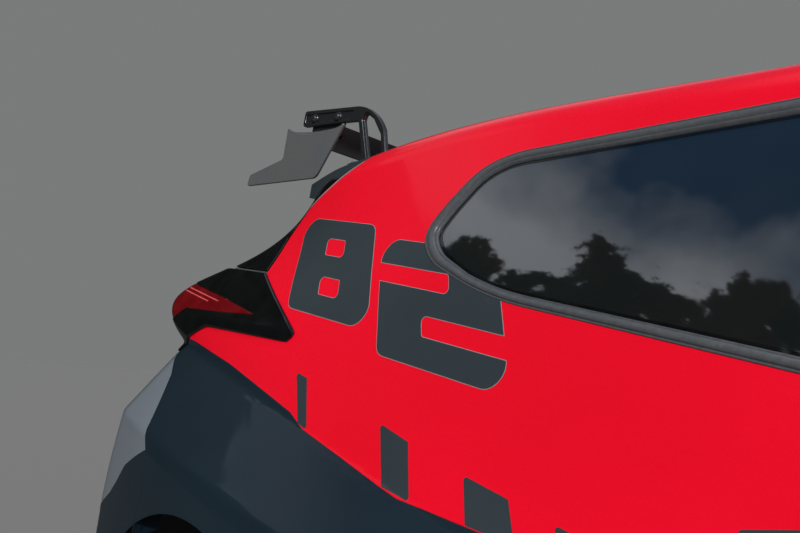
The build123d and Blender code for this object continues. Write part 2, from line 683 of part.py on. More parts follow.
# Tabs on the wing, each with its pivot bolt and the bolt that runs in the slot
tab_near = bracket_near + TAB_GAP + TAB_THICKNESS
tab_far = bracket_near + TAB_GAP
with BuildPart() as tab:
    add(side_prism(
        [(TAB_FRONT_X, TAB_LOW), (TAB_FRONT_X, TAB_TOP), (TAB_REAR_X, TAB_TOP), (TAB_REAR_X, TAB_LOW)],
        tab_near, tab_far, TAB_CORNER))
    add(wing.part, mode=Mode.SUBTRACT)
    tab_top = tab.solids().sort_by(Axis.Z)[-1]
with BuildPart() as wing_tab:
    add(tab_top)
    for x in (PIVOT[0], SLOT_BOLT_X):
        with BuildSketch(Plane.XZ.offset(-tab_near)):
            with Locations(at((x, PIVOT[1]))):
                Circle(WING_BOLT_RADIUS)
        extrude(amount=tab_near - bracket_far + TAB_GAP)
        with BuildSketch(Plane.XZ.offset(-bracket_far + TAB_GAP)):
            with Locations(at((x, PIVOT[1]))):
                Circle(BOLT_HEAD_RADIUS)
        extrude(amount=BOLT_HEAD)
save_pair(wing_tab.part, "wing_tab")
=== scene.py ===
import json
import math
import time

import bmesh
import bpy
import numpy as np
from mathutils import Matrix, Vector
from mathutils.geometry import delaunay_2d_cdt


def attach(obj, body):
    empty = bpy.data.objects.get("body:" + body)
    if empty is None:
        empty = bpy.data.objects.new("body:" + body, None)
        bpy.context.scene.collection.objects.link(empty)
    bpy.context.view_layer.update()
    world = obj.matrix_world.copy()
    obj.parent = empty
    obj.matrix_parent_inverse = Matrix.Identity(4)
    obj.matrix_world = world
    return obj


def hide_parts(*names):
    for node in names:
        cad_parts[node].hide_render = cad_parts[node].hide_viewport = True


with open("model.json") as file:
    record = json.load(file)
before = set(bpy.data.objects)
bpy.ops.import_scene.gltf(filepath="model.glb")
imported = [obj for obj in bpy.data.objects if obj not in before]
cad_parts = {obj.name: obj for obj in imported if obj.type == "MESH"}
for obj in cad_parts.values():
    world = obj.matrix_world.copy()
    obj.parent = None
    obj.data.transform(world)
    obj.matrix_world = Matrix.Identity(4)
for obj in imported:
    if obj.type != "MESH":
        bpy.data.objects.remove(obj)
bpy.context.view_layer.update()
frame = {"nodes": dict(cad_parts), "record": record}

startTime = time.time()
mm = 0.001
rideHeight = 0.330  # metres from the road to the origin's plane


def report(stage):
    print(f"{stage} at {time.time() - startTime:.1f} s")


# The body's skin is lofted from sections in plan, in millimetres with heights above the road. A row holds
# height, slope, half width at the front and at the axle, x and y of the rear corner, x of the tail and
# corner radius
shoulderLow = (733, -0.044, 858, 894, -577, 801, -622, 110)
shoulderHigh = (830, -0.125, 846, 790, -563, 701, -626, 92)
bodyShape = {
    "low": [
        (150, 0.0, 795, 800, -560, 725, -602, 90),
        (390, 0.0, 846, 890, -572, 795, -622, 110),
        (590, -0.02, 860, 910, -570, 812, -618, 110),
        shoulderLow,
    ],
    "shoulder": [shoulderLow, shoulderHigh],
    "upper": [
        shoulderHigh,
        (1005, 0.0, 790, 725, -622, 684, -642, 55),
        (1075, 0.0, 765, 701, -500, 648, -522, 75),
        (1210, 0.0, 719, 656, -370, 612, -392, 95),
        (1480, 0.0, 617, 556, -268, 508, -290, 85),
    ],
    # x, height on the centre line and height roofHalf beside it
    "roof": [(900, 1485, 1439), (350, 1432, 1382), (0, 1400, 1348), (-300, 1334, 1277), (-700, 1150, 1080)],
    "roofHalf": 580,
    "roofReach": 1000,
    "railRadius": 40,
    "frontX": 760,  # the joint plane
    "frontRun": 30,  # the sections start this far in front of it
    "steps": (200, 60, 140),  # points along the side, round the corner and across the tail
    "bandRows": 60,
}
frontX = bodyShape["frontX"]

# The skin is tabled as its distance from a spine, over the place w along the body and the height, in metres
spineX = -0.30  # the spine ends here, and w goes on round its end
spineZ = 0.52
turnRadius = 0.60  # metres of w for each radian round the rear
riseRadius = 0.85  # metres of rise for each radian up the side
skinGrid = {
    "pastMiddle": 0.06, "front": 0.788, "columns": 420,
    "low": -0.178, "high": 1.148, "rows": 330,
    "mirrored": 30,  # points of a section that go on past the centre line
    "leastWidth": 0.01,
    "creaseBlur": 3,  # rows that soften the shoulder's creases
}


def circleThrough(a, b, c):
    (ax, ay), (bx, by), (cx, cy) = a, b, c
    d = 2 * (ax * (by - cy) + bx * (cy - ay) + cx * (ay - by))
    aa, bb, cc = ax * ax + ay * ay, bx * bx + by * by, cx * cx + cy * cy
    x = (aa * (by - cy) + bb * (cy - ay) + cc * (ay - by)) / d
    y = (aa * (cx - bx) + bb * (ax - cx) + cc * (bx - ax)) / d
    return np.array((x, y)), math.hypot(ax - x, ay - y)


def arcPoints(centre, radius, start, end, count):
    a = math.atan2(start[1] - centre[1], start[0] - centre[0])
    b = math.atan2(end[1] - centre[1], end[0] - centre[0])
    turn = (b - a + math.pi) % (2 * math.pi) - math.pi
    angles = a + turn * np.linspace(0, 1, count + 1)
    return np.stack([centre[0] + radius * np.cos(angles), centre[1] + radius * np.sin(angles)], 1)


# Half a section from the joint plane round the rear corner to the centre line: three arcs that touch
def planOutline(row):
    slope = row[1]
    height, _, frontY, axleY, cornerX, cornerY, tailX, radius = [v * mm for v in row]
    front = ((bodyShape["frontX"] + bodyShape["frontRun"]) * mm, frontY)
    corner = (cornerX, cornerY)
    sideCentre, sideRadius = circleThrough(front, (0, axleY), corner)
    tailCentre, tailRadius = circleThrough(corner, (tailX, 0), (cornerX, -cornerY))
    inSide = sideRadius - radius if sideCentre[1] < axleY else sideRadius + radius
    inTail = tailRadius - radius if tailCentre[0] > tailX else tailRadius + radius
    across = tailCentre - sideCentre
    gap = np.hypot(*across)
    along = (inSide ** 2 - inTail ** 2 + gap ** 2) / (2 * gap)
    off = math.sqrt(max(inSide ** 2 - along ** 2, 0))
    base = sideCentre + across / gap * along
    normal = np.array((-across[1], across[0])) / gap
    centre = min((base + normal * off, base - normal * off), key=lambda p: math.hypot(*(p - corner)))

    def touch(middle, reach):
        return middle + (centre - middle) / np.hypot(*(centre - middle)) * reach

    sideEnd, tailStart = touch(sideCentre, sideRadius), touch(tailCentre, tailRadius)
    sideSteps, cornerSteps, tailSteps = bodyShape["steps"]
    side = arcPoints(sideCentre, sideRadius, front, sideEnd, sideSteps)
    turn = arcPoints(centre, radius, sideEnd, tailStart, cornerSteps)
    tailArc = arcPoints(tailCentre, tailRadius, tailStart, (tailX, 0), tailSteps)
    xy = np.concatenate([side, turn[1:], tailArc[1:]])
    return np.column_stack([xy, height + slope * xy[:, 0] - rideHeight])


# Weights of a smooth curve through values at the knots
def blendWeights(t, knots):
    weights = []
    for i, knot in enumerate(knots):
        weight = np.ones_like(t)
        for j, other in enumerate(knots):
            if j != i:
                weight = weight * (t - other) / (knot - other)
        weights.append(weight)
    return np.array(weights)


def loftedBand(rows):
    sections = [planOutline(row) for row in rows]
    knots = [0.0]
    for a, b in zip(sections, sections[1:]):
        knots.append(knots[-1] + np.mean(np.linalg.norm(a - b, axis=1)))
    knots = np.array(knots) / knots[-1]
    weights = blendWeights(np.linspace(0, 1, bodyShape["bandRows"]), knots)
    return np.einsum("kt,kuc->tuc", weights, np.array(sections))


# Place w along the body and distance from the spine, y being the distance from the centre plane
def roundSpine(x, y):
    behind = x < spineX
    w = np.where(behind, spineX - turnRadius * np.arctan2(spineX - x, y), x)
    return w, np.where(behind, np.hypot(spineX - x, y), y)


def widthTable():
    bands = [loftedBand(bodyShape[name]) for name in ("low", "shoulder", "upper")]
    loft = np.concatenate([bands[0], bands[1][1:], bands[2][1:]])
    rearEnd = spineX - turnRadius * math.pi / 2 - skinGrid["pastMiddle"]
    ws = np.linspace(rearEnd, skinGrid["front"], skinGrid["columns"])
    zs = np.linspace(skinGrid["low"], skinGrid["high"], skinGrid["rows"])
    table = np.zeros((len(ws), len(zs)))
    columns = range(loft.shape[1])
    xs = np.array([np.interp(zs, loft[:, u, 2], loft[:, u, 0]) for u in columns])
    ys = np.array([np.interp(zs, loft[:, u, 2], loft[:, u, 1]) for u in columns])
    past = slice(-2, -2 - skinGrid["mirrored"], -1)
    for k in range(len(zs)):
        w, r = roundSpine(xs[:, k], ys[:, k])
        w = np.concatenate([w, 2 * w[-1] - w[past]])
        r = np.concatenate([r, r[past]])
        order = np.argsort(w)
        table[:, k] = np.interp(ws, w[order], np.maximum(r[order], skinGrid["leastWidth"]))
    blur = skinGrid["creaseBlur"]
    kernel = np.hanning(blur + 2)[1:-1]
    pad = blur // 2
    padded = np.pad(table, ((0, 0), (pad, pad)), mode="edge")
    soft = sum(share * padded[:, i:i + len(zs)] for i, share in enumerate(kernel / kernel.sum()))
    soft[:, :pad] = table[:, :pad]
    soft[:, -pad:] = table[:, -pad:]
    return ws, zs, soft


wGrid, zGrid, widths = widthTable()
report("body shape")


def lookUp(w, z):
    i = np.clip((w - wGrid[0]) / (wGrid[1] - wGrid[0]), 0, len(wGrid) - 1.001)
    k = np.clip((z - zGrid[0]) / (zGrid[1] - zGrid[0]), 0, len(zGrid) - 1.001)
    i0, k0 = i.astype(int), k.astype(int)
    a, b = i - i0, k - k0
    return ((widths[i0, k0] * (1 - a) + widths[i0 + 1, k0] * a) * (1 - b)
            + (widths[i0, k0 + 1] * (1 - a) + widths[i0 + 1, k0 + 1] * a) * b)


# Height over x and y, in metres, of a face that is crowned across and runs through the rows along the car
def crownedFace(rows):
    rows = np.array(rows, float) * mm
    half, reach = bodyShape["roofHalf"] * mm, bodyShape["roofReach"] * mm
    falls = (rows[:, 1] - rows[:, 2]) * (reach / half) ** 2
    radii = (reach ** 2 + falls ** 2) / (2 * falls)
    centres = rows[:, 1] - rideHeight - radii

    def height(x, y):
        weights = blendWeights(-x, -rows[:, 0])
        return sum(weight * (centre + np.sqrt(np.maximum(radius ** 2 - y ** 2, 0)))
                   for weight, centre, radius in zip(weights, centres, radii))

    return height


roofHeight = crownedFace(bodyShape["roof"])


# Distance outside the body's skin, less than nought inside it
def outside(p):
    x, y, z = p[..., 0], np.abs(p[..., 1]), p[..., 2]
    w, r = roundSpine(x, y)
    side = r - lookUp(w, z)
    roof = z - roofHeight(x, y)
    rail = bodyShape["railRadius"] * mm
    rounding = np.hypot(np.maximum(side + rail, 0), np.maximum(roof + rail, 0))
    return np.minimum(np.maximum(side, roof), -rail) + rounding


# Nearest and farthest place of the skin along a line of each view, in metres
searchReach = {"ray": (0.02, 1.6), "side": (0.02, 1.3), "rear": (0.05, 0.9), "top": (0.3, 1.4)}


# Where the lines that make() draws reach a depth below the skin
def search(make, count, view, depth=0.0, steps=36):
    near, far = searchReach[view]
    low, high = np.full(count, near), np.full(count, far)
    for _ in range(steps):
        middle = (low + high) / 2
        isOut = outside(make(middle)) > -depth
        high = np.where(isOut, middle, high)
        low = np.where(isOut, low, middle)
    return make((low + high) / 2)


# A map of the skin holds w and the rise up the side, both in metres
def onSkin(flat, depth=0.0):
    w, rise = np.asarray(flat, float).T
    turn = np.where(w < spineX, (spineX - w) / turnRadius, 0)
    tilt = rise / riseRadius
    origin = np.stack([np.maximum(w, spineX), np.zeros_like(w), np.full_like(w, spineZ)], 1)
    direction = np.stack([-np.sin(turn) * np.cos(tilt), -np.cos(turn) * np.cos(tilt), np.sin(tilt)], 1)
    depth = np.broadcast_to(depth, w.shape)
    return search(lambda r: origin + direction * r[:, None], len(w), "ray", depth)


def toMap(p):
    w, r = roundSpine(p[:, 0], -p[:, 1])
    return np.stack([w, riseRadius * np.arctan2(p[:, 2] - spineZ, r)], 1)


# Outward direction at each point of the skin, or of the face that lies depth(p) below it
def skinNormals(p, depth=None, step=0.003):
    field = outside if depth is None else (lambda q: outside(q) + depth(q))
    slopes = []
    for axis in range(3):
        d = np.zeros(3)
        d[axis] = step
        slopes.append(field(p + d) - field(p - d))
    return unit(np.stack(slopes, 1))


def unit(vectors):
    return vectors / np.maximum(np.linalg.norm(vectors, axis=1, keepdims=True), 1e-9)


# Outlines are drawn in side, rear or top view in millimetres, heights above the road, and dropped on the skin
def densify(points, spacing=6.0, closed=False):
    points = np.asarray(points, float)
    if closed:
        points = np.vstack([points, points[:1]])
    out = []
    for a, b in zip(points, points[1:]):
        count = max(1, int(math.ceil(np.hypot(*(b - a)) / spacing)))
        out.append(a + (b - a) * np.linspace(0, 1, count, endpoint=False)[:, None])
    if not closed:
        out.append(points[-1:])
    return np.vstack(out)


def sideView(points, **how):
    x, h = (densify(points, **how) * mm).T
    return toMap(search(lambda y: np.stack([x, -y, h - rideHeight], 1), len(x), "side"))


def rearView(points, **how):
    y, h = (densify(points, **how) * mm).T
    return toMap(search(lambda x: np.stack([-x, y, h - rideHeight], 1), len(y), "rear"))


def topView(points, **how):
    x, y = (densify(points, **how) * mm).T
    return toMap(search(lambda z: np.stack([x, y, z], 1), len(x), "top"))


# Most of an edge that an arc takes, and the length and least number of the arc's steps
cornerArc = {"share": 0.49, "step": 5, "leastSteps": 4}


# Polyline with its corners rounded, each by its own radius
def rounded(points, radii, closed=True):
    points = [np.array(p, float) for p in points]
    count = len(points)
    if isinstance(radii, (int, float)):
        radii = [radii] * count
    out = []
    for i, (p, radius) in enumerate(zip(points, radii)):
        if radius <= 0 or (not closed and i in (0, count - 1)):
            out.append(p)
            continue
        a, b = points[i - 1] - p, points[(i + 1) % count] - p
        lengthA, lengthB = np.hypot(*a), np.hypot(*b)
        a, b = a / lengthA, b / lengthB
        half = math.acos(max(-1, min(1, float(a @ b)))) / 2
        cut = min(radius / math.tan(half), lengthA * cornerArc["share"], lengthB * cornerArc["share"])
        radius = cut * math.tan(half)
        centre = p + (a + b) / np.hypot(*(a + b)) * (radius / math.sin(half))
        steps = max(cornerArc["leastSteps"], int(radius * (math.pi - 2 * half) / cornerArc["step"]))
        out.extend(arcPoints(centre, radius, p + a * cut, p + b * cut, steps))
    return np.array(out)


# Arc from a through b to c
def through(a, b, c, count=18):
    centre, radius = circleThrough(a, b, c)
    first = arcPoints(centre, radius, a, b, count // 2)
    return np.vstack([first, arcPoints(centre, radius, b, c, count // 2)[1:]])


def circle(centre, radius, count=24):
    t = np.linspace(0, 2 * math.pi, count, endpoint=False)
    return np.stack([centre[0] + radius * np.cos(t), centre[1] + radius * np.sin(t)], 1)


# One closed outline from stretches, with points that nearly coincide left out
def joined(*parts, least=0.0008):
    points = np.vstack(parts)
    step = np.hypot(*(points - np.roll(points, 1, axis=0)).T)
    return points[step > least]


# Closed outline moved to its left by amount
def shifted(loop, amount):
    before, after = np.roll(loop, 1, axis=0), np.roll(loop, -1, axis=0)
    left, right = [np.stack([-e[:, 1], e[:, 0]], 1) for e in (unit(loop - before), unit(after - loop))]
    normal = unit(left + right)
    step = amount / np.maximum((normal * left).sum(1), 0.5)
    return loop + normal * step[:, None]


def area(loop):
    x, y = loop.T
    return 0.5 * np.sum(x * np.roll(y, -1) - y * np.roll(x, -1))


def anticlockwise(loop):
    return loop if area(loop) > 0 else loop[::-1]


# The outline anticlockwise and the holes after it clockwise
def oriented(loops):
    return [anticlockwise(loop) if k == 0 else anticlockwise(loop)[::-1] for k, loop in enumerate(loops)]


def insideLoop(points, loop):
    x, y = points[:, 0][:, None], points[:, 1][:, None]
    x0, y0 = loop.T
    x1, y1 = np.roll(loop, -1, axis=0).T
    crosses = ((y0 > y) != (y1 > y)) & (x < (x1 - x0) * (y - y0) / (y1 - y0 + 1e-15) + x0)
    return crosses.sum(1) % 2 == 1


# Inside the first outline and outside the others
def insidePanel(points, loops):
    inside = insideLoop(points, loops[0])
    for hole in loops[1:]:
        inside &= ~insideLoop(points, hole)
    return inside


def distanceTo(points, loop):
    best = np.full(len(points), 1e9)
    for a, b in zip(loop, np.roll(loop, -1, axis=0)):
        d = b - a
        t = np.clip(((points - a) @ d) / max(d @ d, 1e-12), 0, 1)
        best = np.minimum(best, np.hypot(*(points - a - t[:, None] * d).T))
    return best


# Staggered grid over the loops, of points that keep() picks and that stand apart from the lines
def staggeredGrid(loops, keep, lines, spacing, apart):
    low, high = np.vstack(loops).min(0), np.vstack(loops).max(0)
    rows = []
    for k, rise in enumerate(np.arange(low[1], high[1], spacing * 0.87)):
        w = np.arange(low[0] + (k % 2) * spacing / 2, high[0], spacing)
        rows.append(np.column_stack([w, np.full(len(w), rise)]))
    grid = np.vstack(rows)
    grid = grid[keep(grid)]
    for line in lines:
        grid = grid[distanceTo(grid, line) > spacing * apart]
    return grid


# Triangles that keep to closed loops and open lines, and the new number of each point that went in
def triangulate(loops, keep, lines=(), points=()):
    verts, edges = [], []
    for line, isClosed in [(loop, True) for loop in loops] + [(line, False) for line in lines]:
        start, count = len(verts), len(line)
        edges.extend((start + i, start + (i + 1) % count) for i in range(count if isClosed else count - 1))
        verts.extend(line)
    verts.extend(points)
    flat, _, tris, sources, _, _ = delaunay_2d_cdt([Vector(v) for v in verts], edges, [], 0, 1e-6)
    flat, tris = np.array([tuple(v) for v in flat]), np.array(tris)
    numbers = {given: i for i, source in enumerate(sources) for given in source}
    return flat, tris[keep(flat[tris].mean(1))], numbers


def turnedOut(tris, points):
    a, b, c = points[tris[:, 0]], points[tris[:, 1]], points[tris[:, 2]]
    flip = (np.cross(b - a, c - a) * skinNormals(a)).sum(1) < 0
    tris[flip] = tris[flip][:, ::-1]
    return tris


def addObject(name, mesh):
    obj = bpy.data.objects.new(name, mesh)
    bpy.context.collection.objects.link(obj)
    return obj


def newObject(name, verts, faces, material, smooth=True):
    mesh = bpy.data.meshes.new(name)
    mesh.from_pydata([tuple(v) for v in verts], [], [tuple(int(i) for i in f) for f in faces])
    mesh.validate()
    mesh.materials.append(material)
    if smooth:
        mesh.shade_smooth()
    return addObject(name, mesh)


def editMesh(mesh, edit):
    bm = bmesh.new()
    bm.from_mesh(mesh)
    edit(bm)
    bm.to_mesh(mesh)
    bm.free()


def faceOutwards(bm):
    bmesh.ops.recalc_face_normals(bm, faces=bm.faces)


def merge(bm):
    bmesh.ops.remove_doubles(bm, verts=bm.verts, dist=1e-6)
    faceOutwards(bm)


def tidied(obj, angle=28):
    editMesh(obj.data, merge)
    obj.data.set_sharp_from_angle(angle=math.radians(angle))
    return obj


# Turns an object with a live modifier into a plain mesh
def applied(obj, modifier):
    bpy.context.view_layer.update()
    done = bpy.data.meshes.new_from_object(obj.evaluated_get(bpy.context.evaluated_depsgraph_get()))
    obj.modifiers.remove(modifier)
    obj.data = done
    return obj


def readAll(items, name, width=1, kind=float):
    values = np.zeros(len(items) * width, kind)
    items.foreach_get(name, values)
    return values.reshape(-1, width) if width > 1 else values


# Gives faces that lie along the skin the skin's own normals, and keeps cut faces crisp
def skinShading(obj, depth=None, turnLimit=0.86, rimLimit=0.45):
    mesh = obj.data
    corners = readAll(mesh.loops, "vertex_index", kind=int)
    skin = skinNormals(readAll(mesh.vertices, "co", 3), depth)[corners]
    faceSizes = readAll(mesh.polygons, "loop_total", kind=int)
    flat = np.repeat(readAll(mesh.polygons, "normal", 3), faceSizes, axis=0)
    turn = (skin * flat).sum(1)
    onFace = np.zeros(len(mesh.vertices), bool)
    onFace[corners[turn > turnLimit]] = True
    alongSkin = (turn > turnLimit) | ((turn > rimLimit) & onFace[corners])
    normals = np.where(alongSkin[:, None], skin, flat)
    normals[turn < -turnLimit] = -skin[turn < -turnLimit]
    mesh.shade_smooth()
    mesh.normals_split_custom_set([tuple(v) for v in normals])


# A panel of the skin: outer and inner face and edges, with a small rounded rim, all in metres. Top and
# thickness are numbers or functions of the points on the skin, and creases are lines that the mesh keeps to
def panel(name, outline, material, thickness, top=0.0, holes=(), creases=(), spacing=0.009, rim=0.0012):
    loops = oriented([outline, *holes])
    inner = [shifted(loop, rim) for loop in loops]

    def keep(points):
        return insidePanel(points, inner)

    grid = staggeredGrid(loops[:1], keep, [*inner, *creases], spacing, 0.45)
    flat, tris, numbers = triangulate(inner, keep, creases, grid)

    def topAt(places):
        return top(onSkin(places)) if callable(top) else top

    depth = topAt(flat)
    outer = onSkin(flat, depth)
    under = onSkin(flat, depth + (thickness(outer) if callable(thickness) else thickness))
    rims = [onSkin(loop, topAt(loop) + rim) for loop in loops]
    tris = turnedOut(tris, outer)
    count = len(flat)
    faces = [*tris, *(tris[:, ::-1] + count)]
    base, start = 2 * count, 0
    for loop in loops:
        size = len(loop)
        ring = [numbers[start + i] for i in range(size)]
        for i in range(size):
            j = (i + 1) % size
            faces.append((ring[i], base + i, base + j, ring[j]))
            faces.append((base + i, ring[i] + count, ring[j] + count, base + j))
        base += size
        start += size
    obj = newObject(name, np.vstack([outer, under, *rims]), faces, material)
    editMesh(obj.data, faceOutwards)
    skinShading(obj, top if callable(top) else None)
    return obj


# Thin film on the skin: what keep() picks out of the area that the loops divide, in metres
def sheet(name, loops, keep, material, proud=0.0005, under=0.0012, spacing=0.006):
    grid = staggeredGrid(loops, keep, loops, spacing, 0.4)
    flat, tris, _ = triangulate(loops, keep, points=grid)
    used = np.unique(tris)
    index = np.full(len(flat), -1)
    index[used] = np.arange(len(used))
    flat, tris = flat[used], index[tris]
    top, bottom = onSkin(flat, -proud), onSkin(flat, under)
    tris = turnedOut(tris, top)
    count = len(flat)
    sides = [(int(t[i]), int(t[(i + 1) % 3])) for t in tris for i in range(3)]
    known = set(sides)
    walls = [(j, i, i + count, j + count) for i, j in sides if (j, i) not in known]
    obj = newObject(name, np.vstack([top, bottom]), [*tris, *(tris[:, ::-1] + count), *walls], material)
    skinShading(obj)
    return obj


# A moulding between two matching outlines; profile is a closed list of share across and depth in metres
def strip(name, outerLoop, innerLoop, profile, material):
    rings = [onSkin(outerLoop * (1 - share) + innerLoop * share, depth) for share, depth in profile]
    count, faces = len(outerLoop), []
    for j in range(len(profile)):
        ring, nextRing = j * count, (j + 1) % len(profile) * count
        for i in range(count):
            after = (i + 1) % count
            faces.append((ring + i, ring + after, nextRing + after, nextRing + i))
    obj = newObject(name, np.vstack(rings), faces, material)
    editMesh(obj.data, faceOutwards)
    obj.data.set_sharp_from_angle(angle=math.radians(50))
    return obj


# Flat plate between two y planes from outlines in side view, with chamfered edges, all in millimetres
def slab(name, loops, near, far, bevel, material):
    loops = oriented([np.array(loop, float) for loop in loops])
    inner = [shifted(loop, bevel) for loop in loops]
    flat, tris, _ = triangulate(inner, lambda points: insidePanel(points, inner))
    step = bevel if far > near else -bevel
    rings = np.vstack(loops)
    layers = [(flat, near), (rings, near + step), (rings, far - step), (flat, far)]
    starts = np.cumsum([0] + [len(points) for points, _ in layers[:-1]])
    verts = [np.column_stack([points[:, 0], np.full(len(points), y), points[:, 1] - rideHeight / mm])
             for points, y in layers]
    faces = [*tris, *(tris[:, ::-1] + starts[-1])]
    base = 0
    for loop in loops:
        for i in range(len(loop)):
            a, b = base + i, base + (i + 1) % len(loop)
            faces.extend((a + low, b + low, b + high, a + high) for low, high in zip(starts, starts[1:]))
        base += len(loop)
    return tidied(newObject(name, np.vstack(verts) * mm, faces, material))


# Cuts a half at the centre plane and mirrors it to the left, joined there
def mirroredWhole(obj, depth=None):
    def edit(bm):
        everything = bm.verts[:] + bm.edges[:] + bm.faces[:]
        bmesh.ops.bisect_plane(bm, geom=everything, dist=1e-6, plane_co=(0, 0, 0), plane_no=(0, 1, 0),
                               clear_outer=True)
        copy = bmesh.ops.duplicate(bm, geom=bm.verts[:] + bm.edges[:] + bm.faces[:])["geom"]
        for item in copy:
            if isinstance(item, bmesh.types.BMVert):
                item.co.y = -item.co.y
        bmesh.ops.reverse_faces(bm, faces=[item for item in copy if isinstance(item, bmesh.types.BMFace)])
        bmesh.ops.remove_doubles(bm, verts=[v for v in bm.verts if abs(v.co.y) < 1e-4], dist=1e-4)

    editMesh(obj.data, edit)
    skinShading(obj, depth)


def mirroredCopy(obj, name):
    def edit(bm):
        for v in bm.verts:
            v.co.y = -v.co.y
        bmesh.ops.reverse_faces(bm, faces=bm.faces[:])

    copy = addObject(name, obj.data.copy())
    editMesh(copy.data, edit)
    return copy


bodyOf = {node: body for body, nodes in frame["record"]["behaviour"]["bodies"].items() for node in nodes}
slotOf = {part["node"]: part["material_slot"] for part in frame["record"]["subparts"]}


def settle(obj, body, replaced=()):
    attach(obj, body)
    if replaced:
        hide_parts(*replaced)


# Places the right-hand piece and its mirror image for the left; the node's name is given without its side
def settlePair(obj, name, node=None, body="shell", finish=None):
    left = mirroredCopy(obj, name + "Left")
    if finish:
        finish(left)
    obj.name = name + "Right"
    for piece, side in ((obj, "_right"), (left, "_left")):
        settle(piece, body, [node + side] if node else ())


# Gives a node's inputs constants, or links from other nodes' outputs
def setSockets(node, values):
    for name, value in values.items():
        if isinstance(value, bpy.types.NodeSocket):
            node.id_data.links.new(value, node.inputs[name])
        else:
            node.inputs[name].default_value = value


def addNode(tree, kind, sockets=None, **settings):
    node = tree.nodes.new(kind)
    for name, value in settings.items():
        setattr(node, name, value)
    setSockets(node, sockets or {})
    return node


def makeMaterial(name, colour, roughness, sockets=None):
    material = bpy.data.materials.new(name)
    material.use_nodes = True
    shader = material.node_tree.nodes["Principled BSDF"]
    setSockets(shader, {"Base Color": (*colour, 1), "Roughness": roughness, **(sockets or {})})
    return material, material.node_tree, shader


def noise(tree, scale, detail=3.0, stretch=(1, 1, 1)):
    place = addNode(tree, "ShaderNodeTexCoord").outputs["Object"]
    mapping = addNode(tree, "ShaderNodeMapping", {"Vector": place, "Scale": stretch})
    texture = addNode(tree, "ShaderNodeTexNoise", {
        "Vector": mapping.outputs["Vector"], "Scale": scale, "Detail": detail})
    return texture.outputs["Fac"]


def mapRange(tree, value, start, end, low=0.0, high=1.0):
    node = addNode(tree, "ShaderNodeMapRange", {
        "Value": value, "From Min": start, "From Max": end, "To Min": low, "To Max": high})
    return node.outputs["Result"]


# Brings a noise, which mostly lies between 0.3 and 0.7, to low to high
def spread(tree, value, low, high):
    return mapRange(tree, value, 0.3, 0.7, low, high)


def shades(tree, factor, first, second, start=0.35, end=0.65):
    ramp = addNode(tree, "ShaderNodeValToRGB", {"Fac": factor})
    for element, position, colour in zip(ramp.color_ramp.elements, (start, end), (first, second)):
        element.position = position
        element.color = (*colour, 1)
    return ramp.outputs["Color"]


def mixed(tree, factor, first, second, **settings):
    node = addNode(tree, "ShaderNodeMix", {"Factor": factor, "A": first, "B": second},
                   data_type="RGBA", **settings)
    return node.outputs["Result"]


def calculate(tree, operation, first, second):
    return addNode(tree, "ShaderNodeMath", {0: first, 1: second}, operation=operation).outputs[0]


def addBump(tree, shader, height, strength, distance, socket="Normal"):
    bump = addNode(tree, "ShaderNodeBump", {"Height": height, "Strength": strength, "Distance": distance})
    setSockets(shader, {socket: bump.outputs["Normal"]})


def scaled(colour, factor, added=0.0):
    return tuple(c * factor + added for c in colour)


paintFinish = {
    "specular": 0.12, "coatIor": 1.3, "coatRoughness": 0.02,
    "depthScale": 3.0, "dustScale": 700.0, "dustRoughness": (-0.06, 0.08),
    "peelScale": 260.0, "peelStrength": 0.05, "peelHeight": 0.0004,
}


# Glossy paint with faint orange peel under its lacquer, a slight change of depth and fine dust
def paint(name, colour, shade, roughness=0.3, coat=1.0):
    material, tree, shader = makeMaterial(name, colour, roughness, {
        "Specular IOR Level": paintFinish["specular"], "Coat Weight": coat,
        "Coat IOR": paintFinish["coatIor"], "Coat Roughness": paintFinish["coatRoughness"]})
    dust = noise(tree, paintFinish["dustScale"], 2.0)
    smoother, rougher = paintFinish["dustRoughness"]
    setSockets(shader, {
        "Base Color": shades(tree, noise(tree, paintFinish["depthScale"]), colour, shade),
        "Roughness": spread(tree, dust, roughness + smoother, roughness + rougher)})
    addBump(tree, shader, noise(tree, paintFinish["peelScale"], 1.0),
            paintFinish["peelStrength"], paintFinish["peelHeight"], "Coat Normal")
    return material


def rubber(name, colour=(0.075, 0.079, 0.085), roughness=0.32):
    material, tree, shader = makeMaterial(name, colour, roughness)
    dust = noise(tree, 160.0, 6.0)
    setSockets(shader, {
        "Base Color": shades(tree, dust, colour, scaled(colour, 1.25, 0.001)),
        "Roughness": spread(tree, dust, roughness - 0.03, roughness + 0.06)})
    addBump(tree, shader, noise(tree, 900.0, 2.0), 0.18, 0.0003)
    return material


def tintedGlass(name, tint=(0.05, 0.058, 0.064)):
    material, tree, shader = makeMaterial(name, tint, 0.0, {
        "IOR": 1.52, "Transmission Weight": 0.85, "Coat Weight": 1.0, "Coat IOR": 2.6})
    film = noise(tree, 18.0, 4.0)
    setSockets(shader, {
        "Base Color": shades(tree, film, tint, scaled(tint, 0.8)),
        "Roughness": spread(tree, film, 0.0, 0.03)})
    return material


def plastic(name, colour, roughness, coat=0.0, grainSize=0.0, grainDepth=0.0, coatIor=1.5, shine=0.5):
    material, tree, shader = makeMaterial(name, colour, roughness, {
        "Specular IOR Level": shine, "Coat Weight": coat, "Coat IOR": coatIor})
    wear = noise(tree, 30.0, 5.0)
    setSockets(shader, {
        "Base Color": shades(tree, wear, colour, scaled(colour, 1.25, 0.002)),
        "Roughness": spread(tree, wear, roughness * 0.8, roughness * 1.25)})
    if grainSize:
        addBump(tree, shader, noise(tree, 1 / grainSize, 2.0), grainDepth, 0.0004)
    return material


